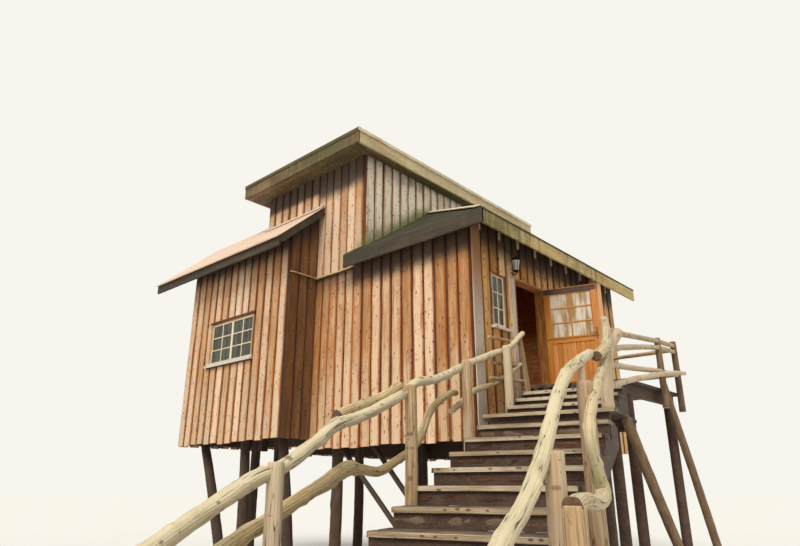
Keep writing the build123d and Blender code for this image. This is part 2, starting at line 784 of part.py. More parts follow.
def leaf_plate(x_low, x_high, y_low, y_high, face, thickness, holes=()):
    """Adds a plate parallel to the leaf; face is its distance inwards from the pin."""
    with BuildSketch(leaf_plane.offset(face)) as profile:
        with Locations(((x_low + x_high) / 2, (y_low + y_high) / 2)):
            Rectangle(x_high - x_low, y_high - y_low)
        for hole_x_low, hole_x_high, hole_y_low, hole_y_high in holes:
            with Locations(((hole_x_low + hole_x_high) / 2, (hole_y_low + hole_y_high) / 2)):
                Rectangle(hole_x_high - hole_x_low, hole_y_high - hole_y_low, mode=Mode.SUBTRACT)
    extrude(profile.sketch, amount=thickness)


with BuildPart() as door_leaf:
    leaf_plate(leaf_low_x, leaf_high_x, leaf_foot_gap, leaf_top, hinge_offset, leaf_thickness,
               [(opening_low_x, opening_high_x, glass_foot, glass_top),
                (opening_low_x, opening_high_x, panel_foot, panel_top)])
save(door_leaf.part, "door_leaf")

with BuildPart() as door_panel:
    leaf_plate(opening_low_x + pane_gap, opening_high_x - pane_gap, panel_foot + pane_gap,
               panel_top - pane_gap, hinge_offset + (leaf_thickness - panel_thickness) / 2,
               panel_thickness)
save(door_panel.part, "door_panel")

with BuildPart() as door_glass:
    leaf_plate(opening_low_x + pane_gap, opening_high_x - pane_gap, glass_foot + pane_gap,
               glass_top - pane_gap, hinge_offset + (leaf_thickness - glass_thickness) / 2,
               glass_thickness)
save(door_glass.part, "door_glass")

# Handles on both faces, and lift-off hinges: the lower knuckle and its pin stay on the jamb
handle_x = leaf_high_x - stile_width / 2
hinge_levels = [
    leaf_foot_gap + hinge_inset + index * (leaf_top - leaf_foot_gap - 2 * hinge_inset) / (hinge_count - 1)
    for index in range(hinge_count)
]
with BuildPart() as door_hardware:
    for side, face in ((-1, hinge_offset), (1, hinge_offset + leaf_thickness)):
        near = face if side > 0 else face - handle_plate
        leaf_plate(handle_x - handle_width / 2, handle_x + handle_width / 2,
                   handle_level - handle_length / 2, handle_level + handle_length / 2, near, handle_plate)
        stem = face if side > 0 else face - handle_reach
        leaf_plate(handle_x - handle_rod / 2, handle_x + handle_rod / 2, handle_level - handle_rod / 2,
                   handle_level + handle_rod / 2, stem, handle_reach)
        grip = face + handle_reach - handle_rod if side > 0 else face - handle_reach
        leaf_plate(handle_x - handle_lever, handle_x + handle_rod / 2, handle_level - handle_rod / 2,
                   handle_level + handle_rod / 2, grip, handle_rod)
    for level in hinge_levels:
        foot = level + hinge_face_gap
        with Locations((hinge_x, hinge_y, floor_level + foot + hinge_knuckle_height / 2)):
            Cylinder(hinge_knuckle_radius, hinge_knuckle_height)
        leaf_plate(hinge_edge, hinge_plate_width, foot, foot + hinge_knuckle_height,
                   hinge_offset - hinge_plate_thickness, hinge_plate_thickness)
        with Locations((hinge_x, hinge_y, floor_level + foot + hinge_knuckle_height / 2)):
            Cylinder(hinge_pin_radius + hinge_bore_clearance, hinge_knuckle_height, mode=Mode.SUBTRACT)
save(door_hardware.part, "door_hardware")

with BuildPart() as door_hinge_pins:
    for level in hinge_levels:
        centre = (hinge_x, hinge_y, floor_level + level)
        with Locations((centre[0], centre[1], centre[2] - hinge_knuckle_height / 2)):
            Cylinder(hinge_knuckle_radius, hinge_knuckle_height)
        with Locations(centre):
            Cylinder(hinge_pin_radius, 2 * hinge_knuckle_height - hinge_pin_short)
        block(hinge_x + hinge_edge, hinge_x + jamb_width - hinge_edge, hinge_y, side_y - jamb_proud,
              centre[2] - hinge_knuckle_height, centre[2])
save(door_hinge_pins.part, "door_hinge_pins")

# Wall lantern beside the door
lantern_x = front_x + lantern_place
lantern_y = side_y - lantern_reach
with BuildPart() as lantern_metal:
    block(lantern_x - lantern_rod * 2, lantern_x + lantern_rod * 2, side_y - lantern_rod, side_y,
          lantern_level - lantern_height / 2, lantern_level + lantern_height)
    log((lantern_x, side_y - lantern_rod / 2, lantern_level - lantern_rod),
        (lantern_x, lantern_y, lantern_level - lantern_rod), lantern_rod / 2, lantern_rod / 2)
    log((lantern_x, lantern_y, lantern_level - lantern_rod * 2),
        (lantern_x, lantern_y, lantern_level), lantern_foot_radius, lantern_foot_radius)
    log((lantern_x, lantern_y, lantern_level + lantern_height),
        (lantern_x, lantern_y, lantern_level + lantern_height + lantern_radius),
        lantern_cap_radius, lantern_rod)
save(lantern_metal.part, "lantern_metal")

with BuildPart() as lantern_glass:
    log((lantern_x, lantern_y, lantern_level), (lantern_x, lantern_y, lantern_level + lantern_height),
        lantern_foot_radius, lantern_radius)
save(lantern_glass.part, "lantern_glass")


# Porch deck in front of the door; its stair edge follows the stair's treads
porch_edge = landing_edge + (upper_step_count + 1) * upper_going
wall_line = side_y - deck_wall_gap


def stair_side(u, y):
    """The v at which the stair's cross line at u meets a plane of constant Y."""
    angle = math.radians(stair_angle)
    return (y - side_y - u * math.sin(angle)) / math.cos(angle)


def deck(corners, top, thickness):
    """Adds a level deck under its top face; its corners are given as (x, y)."""
    with BuildSketch(Plane.XY.offset(top)) as outline:
        with BuildLine():
            Polyline(*corners, close=True)
        make_face()
    extrude(outline.sketch, amount=-thickness)


def plan(u, v):
    """A point of the stair frame on the plan."""
    point = stair_point(u, v, 0)
    return (point.X, point.Y)


porch_front_y = side_y - porch_depth
porch_right_x = front_x + porch_right
with BuildPart() as porch_deck:
    deck([plan(porch_edge, stair_side(porch_edge, wall_line)),
          plan(porch_edge, stair_side(porch_edge, porch_front_y)),
          (porch_right_x, porch_front_y), (porch_right_x, wall_line)], floor_level, deck_thickness)
save(porch_deck.part, "porch_deck")

# Two beams and a ledger under the porch deck, on three logs
porch_beam_top = floor_level - deck_thickness
porch_beam_foot = porch_beam_top - porch_beam_height
porch_start_x = plan(porch_edge, stair_side(porch_edge, porch_front_y))[0] + porch_beam_inset
porch_beam_lines = (wall_line - porch_beam_width, porch_front_y + porch_beam_inset)
porch_log_x = (porch_start_x + porch_log_inset, porch_right_x - porch_beam_inset - porch_log_inset)
# The squared post under the entrance eaves
porch_post_x = front_x + porch_post_place
with BuildPart() as porch_post:
    block(porch_post_x, porch_post_x + porch_post_width, entrance_edge_y, entrance_edge_y
          + porch_post_width, floor_level, under_entrance(entrance_edge_y) - rafter_depth)
save(porch_post.part, "porch_post")

# Landing at the head of the flight, with its right edge in line with the stair's side
landing_left = landing_edge_left
landing_right = stair_right
landing_end = porch_edge + 2 * riser_setback
with BuildPart() as landing_deck:
    front_left = plan(landing_edge, landing_left)
    deck([(front_left[0], wall_line), front_left, plan(landing_edge, landing_right),
          plan(landing_end, landing_right), plan(landing_end, stair_side(landing_end, wall_line))],
         landing_level, deck_thickness)
save(landing_deck.part, "landing_deck")

landing_beam_top = landing_level - deck_thickness
landing_beam_foot = landing_beam_top - porch_beam_height
landing_back = landing_edge + landing_beam_span
with BuildPart() as deck_beams:
    for beam_y in porch_beam_lines:
        block(porch_start_x, porch_right_x - porch_beam_inset, beam_y, beam_y + porch_beam_width,
              porch_beam_foot, porch_beam_top)
    for beam_u in (landing_edge + riser_setback, landing_back):
        stair_block(beam_u, beam_u + porch_beam_width, landing_right + porch_beam_inset,
                    landing_left - porch_beam_inset, landing_beam_foot, landing_beam_top)
save(deck_beams.part, "deck_beams")

with BuildPart() as deck_logs:
    for log_x in porch_log_x:
        for beam_y in porch_beam_lines:
            log_y = beam_y + porch_beam_width / 2
            log((log_x, log_y, 0), (log_x, log_y, porch_beam_foot), porch_log_radius, porch_log_radius)
    for beam_u in (landing_edge + riser_setback, landing_back):
        for log_v in (landing_right + porch_beam_inset + porch_log_inset,
                      landing_left - porch_beam_inset - porch_log_inset):
            log(stair_point(beam_u + porch_beam_width / 2, log_v, 0),
                stair_point(beam_u + porch_beam_width / 2, log_v, landing_beam_foot),
                porch_log_radius, porch_log_radius)
save(deck_logs.part, "deck_logs")

# Main flight: cut stringers, plank treads and set-back risers
tread_count = stair_riser_count - 1


def tread_front(index):
    """Place of a tread's front edge; the first tread is number 1."""
    return landing_edge - (stair_riser_count - index) * stair_going


def stringer_outline():
    """Side view of a cut stringer, as (u, w)."""
    points = [(tread_front(1) + riser_setback, 0)]
    for index in range(1, tread_count + 1):
        seat = index * stair_rise - tread_thickness
        points.append((tread_front(index) + riser_setback, seat))
        points.append((tread_front(index + 1) + riser_setback, seat))
    head_u = tread_front(stair_riser_count) + riser_setback
    head_foot = tread_count * stair_rise - tread_thickness - stringer_height
    points.append((head_u, head_foot))
    points.append((head_u - head_foot * stair_going / stair_rise, 0))
    return points


with BuildPart() as stair_stringers:
    for stringer_v in (stair_left, stair_right + stringer_thickness):
        side_plane = Plane(origin=stair_point(0, stringer_v, 0), x_dir=stair_frame.x_dir,
                           z_dir=-stair_frame.y_dir)
        with BuildSketch(side_plane) as side_view:
            with BuildLine():
                Polyline(*stringer_outline(), close=True)
            make_face()
        extrude(side_view.sketch, amount=stringer_thickness)
save(stair_stringers.part, "stair_stringers")

with BuildPart() as stair_treads:
    for index in range(1, tread_count + 1):
        top = index * stair_rise
        stair_block(tread_front(index), tread_front(index + 1) + tread_overlap, stair_right, stair_left,
                    top - tread_thickness, top)
save(stair_treads.part, "stair_treads")

with BuildPart() as stair_risers:
    for index in range(1, tread_count + 1):
        face = tread_front(index) + riser_setback
        stair_block(face - riser_thickness, face, stair_right + riser_inset, stair_left - riser_inset,
                    (index - 1) * stair_rise, index * stair_rise - tread_thickness)
save(stair_risers.part, "stair_risers")

# Three low steps from the landing up to the porch
step_right = stair_right + upper_step_inset
with BuildPart() as upper_steps:
    for index in range(1, upper_step_count + 1):
        step_front = landing_edge + index * upper_going
        step_back = step_front + upper_going + riser_setback - riser_thickness
        step_left = min(upper_steps_left, stair_side(step_back, wall_line))
        top = landing_level + index * upper_rise
        stair_block(step_front, step_back, step_right, step_left, top - tread_thickness, top)
save(upper_steps.part, "upper_steps")

with BuildPart() as upper_step_frame:
    for index in range(1, upper_step_count + 2):
        face = landing_edge + index * upper_going + riser_setback
        step_left = min(upper_steps_left, stair_side(face + upper_going, wall_line))
        top = landing_level + index * upper_rise - tread_thickness
        if index > upper_step_count:
            top = floor_level - deck_thickness
        stair_block(face - riser_thickness, face, step_right, step_left, landing_level, top)
        if index <= upper_step_count:
            for carriage_v in (step_right + upper_step_inset, (step_right + step_left) / 2, step_left):
                stair_block(face - riser_thickness, face + upper_going - riser_thickness,
                            carriage_v - carriage_width, carriage_v, landing_level, top)
save(upper_step_frame.part, "upper_step_frame")

# Left railing: a crooked handrail on posts that stand beside the flight
left_line = stair_left + rail_post_radius + seat_gap
landing_post_line = upper_steps_left + rail_post_radius + seat_gap
landing_post_place = 300
left_handrail_route = [
    (-6620, left_line, 1120), (-6030, left_line + 20, 1390), (-5450, left_line, 1665),
    (-5100, left_line - 20, 1780), (-4614, left_line, 2010), (-4267, left_line + 20, 2190),
    (-3830, left_line, 2316), (-3195, left_line - 15, 2552), (-2804, left_line, 2700),
    (-2590, left_line, 2830), (-1880, left_line + 20, 2993), (-870, left_line, 3350),
    (100, left_line - 70, 3680), (565, landing_post_line, 3840), (1010, landing_post_line - 140, 4185),
]
left_handrail_radii = [70, 68, 64, 60, 58, 62, 58, 60, 54, 58, 54, 52, 52, 50, 46]

# A second log lies against the handrail where it passes its third post
spare_log_route = [
    (-4140, left_line + 100, 2300), (-3700, left_line + 108, 2440), (-3200, left_line + 98, 2600),
    (-2840, left_line + 92, 2765),
]
spare_log_radii = [58, 52, 54, 50]

left_lower_line = left_line + rail_post_radius + lower_rail_radius + seat_gap
left_lower_route = [
    (-6500, left_lower_line, 760), (-5491, left_lower_line, 1213), (-5061, left_lower_line + 15, 1359),
    (-4665, left_lower_line, 1520), (-4333, left_lower_line - 10, 1640), (-3900, left_lower_line, 1800),
    (-3640, left_lower_line, 1800), (-3233, left_lower_line + 10, 1785), (-2909, left_lower_line, 1893),
    (-2499, left_lower_line, 2043), (-2156, left_lower_line + 10, 2277),
    (-1900, left_lower_line, 2590), (-1281, left_lower_line, 2870), (-1060, left_lower_line, 2905),
]
left_lower_radii = [56, 54, 50, 52, 58, 66, 50, 46, 44, 46, 48, 46, 42, 40]
left_upper_route = [
    (-1240, left_lower_line, 2630), (-922, left_lower_line, 2770), (-331, left_lower_line - 10, 3037),
    (332, left_lower_line - 150, 3254), (1000, landing_post_line - 80, 3640),
]
left_upper_radii = [44, 46, 44, 40, 36]
with BuildPart() as left_rails:
    stair_branch(left_handrail_route, left_handrail_radii)
    stair_branch(spare_log_route, spare_log_radii)
    stair_branch(left_lower_route, left_lower_radii)
    stair_branch(left_upper_route, left_upper_radii)
save(left_rails.part, "left_rails")


def rail_level(route, u):
    """Level of a rail's centre line at a place along the flight."""
    for start, end in zip(route, route[1:]):
        if start[0] <= u <= end[0]:
            share = (u - start[0]) / (end[0] - start[0])
            return start[2] + share * (end[2] - start[2])
    return route[-1][2]


left_post_places = (-6450, -5230, -2855, -1090)
with BuildPart() as left_rail_posts:
    for post_u in left_post_places:
        foot = max(0, (post_u - tread_front(1)) / stair_going * stair_rise - post_foot_drop)
        log(stair_point(post_u, left_line, foot),
            stair_point(post_u, left_line, rail_level(left_handrail_route, post_u) + rail_post_radius),
            rail_post_radius, rail_post_radius * post_taper)
    log(stair_point(landing_post_place, landing_post_line, landing_level),
        stair_point(landing_post_place, landing_post_line,
                    rail_level(left_handrail_route, landing_post_place) + rail_post_radius),
        rail_post_radius, rail_post_radius * post_taper)
    add(left_rails.part, mode=Mode.SUBTRACT)
save(left_rail_posts.part, "left_rail_posts")

# Forked post on the landing's outer corner
fork_line = landing_right + fork_radius + fork_edge_gap
with BuildPart() as forked_post:
    stair_branch([(fork_place, fork_line, landing_level), (fork_place, fork_line, 2900),
                  (fork_place + 90, fork_line - 40, 3270), (fork_place + 150, fork_line - 70, 3640),
                  (fork_place + 120, fork_line - 50, 4010)], [fork_radius, 92, 84, 74, 56])
    stair_branch([(fork_place + 130, fork_line - 60, 3520), (fork_place + 330, fork_line - 120, 3700),
                  (fork_place + 500, fork_line - 170, 3850)], [68, 76, 82])
save(forked_post.part, "forked_post")

# Right railing: its handrail ends beside a log that runs on to the forked post
right_line = stair_right - rail_post_radius - seat_gap
right_handrail_route = [
    (-6550, right_line, 700), (-6000, right_line - 15, 985), (-5440, right_line, 1288),
    (-4930, right_line + 15, 1480), (-4520, right_line, 1750), (-4140, right_line - 10, 2085),
    (-3710, right_line, 2420), (-3150, right_line + 10, 2725), (-2280, right_line, 3030),
    (-1960, right_line + 5, 3110),
]
right_handrail_radii = [74, 72, 70, 66, 68, 64, 60, 60, 56, 52]
upper_log_route = [
    (-2060, right_line - 70, 3055), (-1100, right_line - 40, 3370), (fork_place + 130, fork_line - 60, 3690),
]
upper_log_radii = [64, 60, 54]

# A crooked branch leaves the near post, rises steeply and climbs to the forked post
thick_line = stair_right - thick_post_radius - thick_post_gap
near_line = thick_line - near_post_offset
outer_rail_route = [
    (-4600, near_line, 1490), (-4150, near_line + 10, 1530), (-3650, near_line, 1500),
    (-3290, near_line + 30, 1580), (-3390, near_line + 40, 1780), (-3500, near_line + 55, 2060),
    (-3150, near_line + 85, 2350), (-2430, near_line + 130, 2690), (-1300, near_line + 215, 3200),
    (fork_place - 250, near_line + 320, 3640), (fork_place + 130, fork_line - 60, 3850),
]
outer_rail_radii = [78, 62, 66, 72, 58, 54, 58, 54, 52, 50, 46]
with BuildPart() as right_rails:
    stair_branch(right_handrail_route, right_handrail_radii)
    stair_branch(upper_log_route, upper_log_radii)
    stair_branch(outer_rail_route, outer_rail_radii)
    add(forked_post.part, mode=Mode.SUBTRACT)
save(right_rails.part, "right_rails")

thin_post_place = second_thick_post_place + thick_post_radius + thin_post_radius + seat_gap
right_posts = (
    (left_post_places[0], right_line, rail_post_radius,
     rail_level(right_handrail_route, left_post_places[0])),
    (first_thick_post_place, thick_line, thick_post_radius, thick_post_tops[0]),
    (second_thick_post_place, thick_line, thick_post_radius, thick_post_tops[1]),
    (thin_post_place, thick_line + thin_post_radius, thin_post_radius,
     rail_level(right_handrail_route, thin_post_place)),
    (near_post_place, near_line, near_post_radius, rail_level(outer_rail_route, near_post_place)),
)
with BuildPart() as right_rail_posts:
    for post_u, post_v, radius, top in right_posts:
        log(stair_point(post_u, post_v, 0), stair_point(post_u, post_v, top), radius, radius * post_taper)
    add(right_rails.part, mode=Mode.SUBTRACT)
save(right_rail_posts.part, "right_rail_posts")

# Porch rails run from the forked post past a post on the porch's edge to its corner
fork_x, fork_y = plan(fork_place + 90, fork_line - 40)
terrace_line = porch_front_y - terrace_post_radius - seat_gap
terrace_outer_line = terrace_line - terrace_post_radius - terrace_rail_radius - seat_gap
terrace_end_x = porch_post_x + porch_post_width / 2
terrace_posts_x = (front_x + terrace_post_place, terrace_end_x)
terrace_routes = (
    (terrace_line, 3835, 4015, 4165, 4210),
    (terrace_line, 3515, 3795, 4045, 4090),
    (terrace_line, 3315, 3465, 3605, 3640),
    (terrace_outer_line, 2990, 3265, 3560, 3680),
)
with BuildPart() as porch_rails:
    for line, start_level, middle_level, post_level, end_level in terrace_routes:
        branch([(fork_x, fork_y, start_level), (front_x + terrace_bend_place, line - terrace_bend, middle_level),
                (terrace_posts_x[0], line, post_level),
                (terrace_posts_x[1] + terrace_rail_overrun, line, end_level)],
               [terrace_rail_radius, terrace_bend_radius, terrace_rail_radius, terrace_end_radius],
               Vector(0, 0, 1))
    for level in terrace_end_rail_levels:
        log((terrace_end_x, terrace_line, level), (terrace_end_x, entrance_edge_y - seat_gap, level),
            terrace_end_radius, terrace_end_radius)
    add(forked_post.part, mode=Mode.SUBTRACT)
    add(right_rails.part, mode=Mode.SUBTRACT)
save(porch_rails.part, "porch_rails")

with BuildPart() as porch_rail_posts:
    for post_x, top in zip(terrace_posts_x, terrace_post_tops):
        log((post_x, terrace_line, porch_beam_foot - terrace_post_drop), (post_x, terrace_line, top),
            terrace_post_radius, terrace_post_radius * post_taper)
    add(porch_rails.part, mode=Mode.SUBTRACT)
save(porch_rail_posts.part, "porch_rail_posts")

# Two logs lean against the landing and the porch rail's post
with BuildPart() as porch_struts:
    strut_line = terrace_line - landing_strut_offset
    leaning_log((landing_strut_foot, strut_line, 0),
                (landing_strut_head, strut_line, landing_level - deck_thickness),
                rail_post_radius, thick_post_radius * post_taper)
    leaning_log((porch_strut_foot, terrace_line, 0), (terrace_posts_x[0], terrace_line, porch_strut_top),
                thick_post_radius * post_taper, terrace_post_radius)
    add(porch_rail_posts.part, mode=Mode.SUBTRACT)
    add(porch_rails.part, mode=Mode.SUBTRACT)
    add(porch_deck.part, mode=Mode.SUBTRACT)
save(porch_struts.part, "porch_struts")

# Rack beside the door: a leaning board and light poles between it and the landing's post
landing_post = stair_point(landing_post_place, landing_post_line, 0)
pole_line = landing_post.Y + rail_post_radius + rack_pole_radius + seat_gap
board_line = pole_line - rack_pole_radius - seat_gap - rack_board_thickness
board_foot_level = landing_level + upper_step_count * upper_rise
board_foot_x = front_x + rack_board_place
with BuildPart() as door_rack:
    wall_y(board_line, board_line + rack_board_thickness,
           [(board_foot_x - rack_board_width, board_foot_level), (board_foot_x, board_foot_level),
            (board_foot_x - rack_board_lean, rack_board_top),
            (board_foot_x - rack_board_lean - rack_board_width, rack_board_top)])
    for level in rack_pole_levels:
        log((front_x + rack_pole_start, pole_line, level),
            (board_foot_x - rack_board_lean / 2, pole_line, level + rack_pole_rise),
            rack_pole_radius, rack_pole_radius)
    add(left_rails.part, mode=Mode.SUBTRACT)
save(door_rack.part, "door_rack")
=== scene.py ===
"""Dresses the tree house: board cladding, roofs, joinery, log railings, stair and studio."""

import logging
import math
import random
from dataclasses import dataclass
from enum import Enum
from typing import Callable, Sequence

import bmesh
import bpy
from mathutils import Matrix, Vector, noise


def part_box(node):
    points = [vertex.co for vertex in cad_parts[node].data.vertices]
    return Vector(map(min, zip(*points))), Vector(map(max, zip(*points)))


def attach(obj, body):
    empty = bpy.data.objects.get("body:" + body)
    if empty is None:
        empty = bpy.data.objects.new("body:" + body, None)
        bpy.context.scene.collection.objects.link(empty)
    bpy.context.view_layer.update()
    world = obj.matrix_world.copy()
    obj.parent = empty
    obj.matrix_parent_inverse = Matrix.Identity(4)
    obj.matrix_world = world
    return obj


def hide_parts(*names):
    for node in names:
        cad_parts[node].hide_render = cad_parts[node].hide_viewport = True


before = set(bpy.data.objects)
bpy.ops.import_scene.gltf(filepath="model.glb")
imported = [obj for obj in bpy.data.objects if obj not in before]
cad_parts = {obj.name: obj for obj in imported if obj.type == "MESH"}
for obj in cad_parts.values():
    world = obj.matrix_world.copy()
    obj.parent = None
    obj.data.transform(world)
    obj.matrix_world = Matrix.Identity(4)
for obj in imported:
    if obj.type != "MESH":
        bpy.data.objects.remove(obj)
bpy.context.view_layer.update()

log = logging.getLogger("tree_house")

Colour = tuple[float, float, float, float]
Point = tuple[float, float, float]
UP = Vector((0.0, 0.0, 1.0))
HOUSE = "house"
LEAF = "door_leaf"


def srgb(red: int, green: int, blue: int) -> Colour:
    """Turns a colour as written, each part from 0 to 255, into the shader's linear values."""
    def linear(share: float) -> float:
        """Undoes the display curve for one channel."""
        return share / 12.92 if share <= 0.04045 else ((share + 0.055) / 1.055) ** 2.4

    return (linear(red / 255), linear(green / 255), linear(blue / 255), 1.0)


# Shader graph


class Value:
    """A number socket that takes part in plain arithmetic."""

    def __init__(self, graph: "Graph", socket: bpy.types.NodeSocket) -> None:
        """Wraps a socket of a graph."""
        self.graph = graph
        self.socket = socket

    def join(self, operation: str, first: object, second: object = 0.0) -> "Value":
        """Adds one Math node with its operation and its two values."""
        return self.graph.node("ShaderNodeMath", {"operation": operation}, {0: first, 1: second})

    def __add__(self, other: object) -> "Value":
        """Sum."""
        return self.join("ADD", self, other)

    def __radd__(self, other: object) -> "Value":
        """Reflected sum."""
        return self.join("ADD", other, self)

    def __sub__(self, other: object) -> "Value":
        """Difference."""
        return self.join("SUBTRACT", self, other)

    def __rsub__(self, other: object) -> "Value":
        """Reflected difference."""
        return self.join("SUBTRACT", other, self)

    def __mul__(self, other: object) -> "Value":
        """Product."""
        return self.join("MULTIPLY", self, other)

    def __rmul__(self, other: object) -> "Value":
        """Reflected product."""
        return self.join("MULTIPLY", other, self)

    def absolute(self) -> "Value":
        """Drops the sign."""
        return self.join("ABSOLUTE", self)

    def most(self, other: "Value") -> "Value":
        """The larger of two values."""
        return self.join("MAXIMUM", self, other)

    def output(self, name: str) -> "Value":
        """Another output of the node that gives this value."""
        return Value(self.graph, self.socket.node.outputs[name])

    def clamped(self) -> "Value":
        """Holds the value between 0 and 1."""
        return self.graph.node("ShaderNodeClamp", {}, {0: self})

    def step(self, low: float, high: float) -> "Value":
        """Rises smoothly from 0 at low to 1 at high."""
        settings = {"interpolation_type": "SMOOTHSTEP"}
        return self.graph.node("ShaderNodeMapRange", settings, {0: self, 1: low, 2: high})


class Graph:
    """The node tree of a material or of the world."""

    def __init__(self, name: str, tree: bpy.types.NodeTree | None = None) -> None:
        """Starts a material with its surface shader, or takes up a tree that is there."""
        if tree is None:
            self.material = bpy.data.materials.new(name)
            self.material.use_nodes = True
            tree = self.material.node_tree
        self.tree = tree

    def wire(self, socket: bpy.types.NodeSocket, value: object) -> None:
        """Links a value to a socket, or writes a constant on it."""
        if isinstance(value, Value):
            self.tree.links.new(value.socket, socket)
        else:
            socket.default_value = value

    def node(self, kind: str, settings: dict, inputs: dict, output: int | str = 0) -> Value:
        """Adds one node.

        Args:
            kind: The node's type.
            settings: Its properties, which are set first.
            inputs: Values or links for its sockets, by index or name.
            output: The output that is wanted.

        Returns:
            That output.
        """
        made = self.tree.nodes.new(kind)
        for key, value in settings.items():
            setattr(made, key, value)
        for key, value in inputs.items():
            self.wire(made.inputs[key], value)
        return Value(self, made.outputs[output])

    def attribute(self, name: str) -> Value:
        """Reads one of the piece's own vector attributes."""
        return self.node("ShaderNodeAttribute", {"attribute_name": name}, {}, "Vector")

    def own_place(self) -> Value:
        """The point in the object's own coordinates."""
        return self.node("ShaderNodeTexCoord", {}, {}, "Object")

    def parts(self, vector: Value) -> tuple[Value, Value, Value]:
        """Splits a vector into its three numbers."""
        first = self.node("ShaderNodeSeparateXYZ", {}, {0: vector}, "X")
        return (first, first.output("Y"), first.output("Z"))

    def noise(self, place: Value, scale: float, detail: float = 4.0, rough: float = 0.55) -> Value:
        """Adds a noise.

        Args:
            place: The point at which it is read.
            scale: How fine it is.
            detail: How many finer layers it holds.
            rough: How strong the finer layers are.

        Returns:
            The noise, about 0.5 on average.
        """
        inputs = {"Vector": place, "Scale": scale, "Detail": detail, "Roughness": rough}
        return self.node("ShaderNodeTexNoise", {}, inputs)

    def stretched(self, place: Value, scale: Point) -> Value:
        """Multiplies a point by its own number along each axis."""
        return self.node("ShaderNodeVectorMath", {"operation": "MULTIPLY"}, {0: place, 1: scale})

    def drawn(self, place: Value, scale: Point, detail: float = 4.0, rough: float = 0.55) -> Value:
        """Adds a noise that is as fine along each axis as its own number says."""
        return self.noise(self.stretched(place, scale), 1.0, detail, rough)

    def mix(self, factor: object, first: object, second: object) -> Value:
        """Mixes two colours, of which the second takes the factor as its share."""
        return self.node("ShaderNodeMix", {"data_type": "RGBA"}, {0: factor, 6: first, 7: second}, 2)

    def ramp(self, value: Value, stops: Sequence[tuple[float, Colour]]) -> Value:
        """Turns a number into a colour through three stops."""
        colour = self.node("ShaderNodeValToRGB", {}, {0: value})
        elements = colour.socket.node.color_ramp.elements
        elements.new(0.5)
        for element, (position, shade) in zip(elements, stops):
            element.position = position
            element.color = shade
        return colour

    def surface(self, **inputs: object) -> None:
        """Sets the shader's sockets, named with underscores for spaces."""
        shader = self.tree.nodes["Principled BSDF"]
        for key, value in inputs.items():
            self.wire(shader.inputs[key.replace("_", " ")], value)

    def bump(self, height: Value, depth: float) -> None:
        """Lets a height of a few millimetres shade the surface."""
        relief = {"Strength": 1.0, "Distance": depth, "Height": height}
        self.surface(Normal=self.node("ShaderNodeBump", {}, relief))


class Grain(Enum):
    """Where a wood finish reads the run of its grain."""

    PIECE = "piece"
    X = "x"
    Y = "y"
    Z = "z"


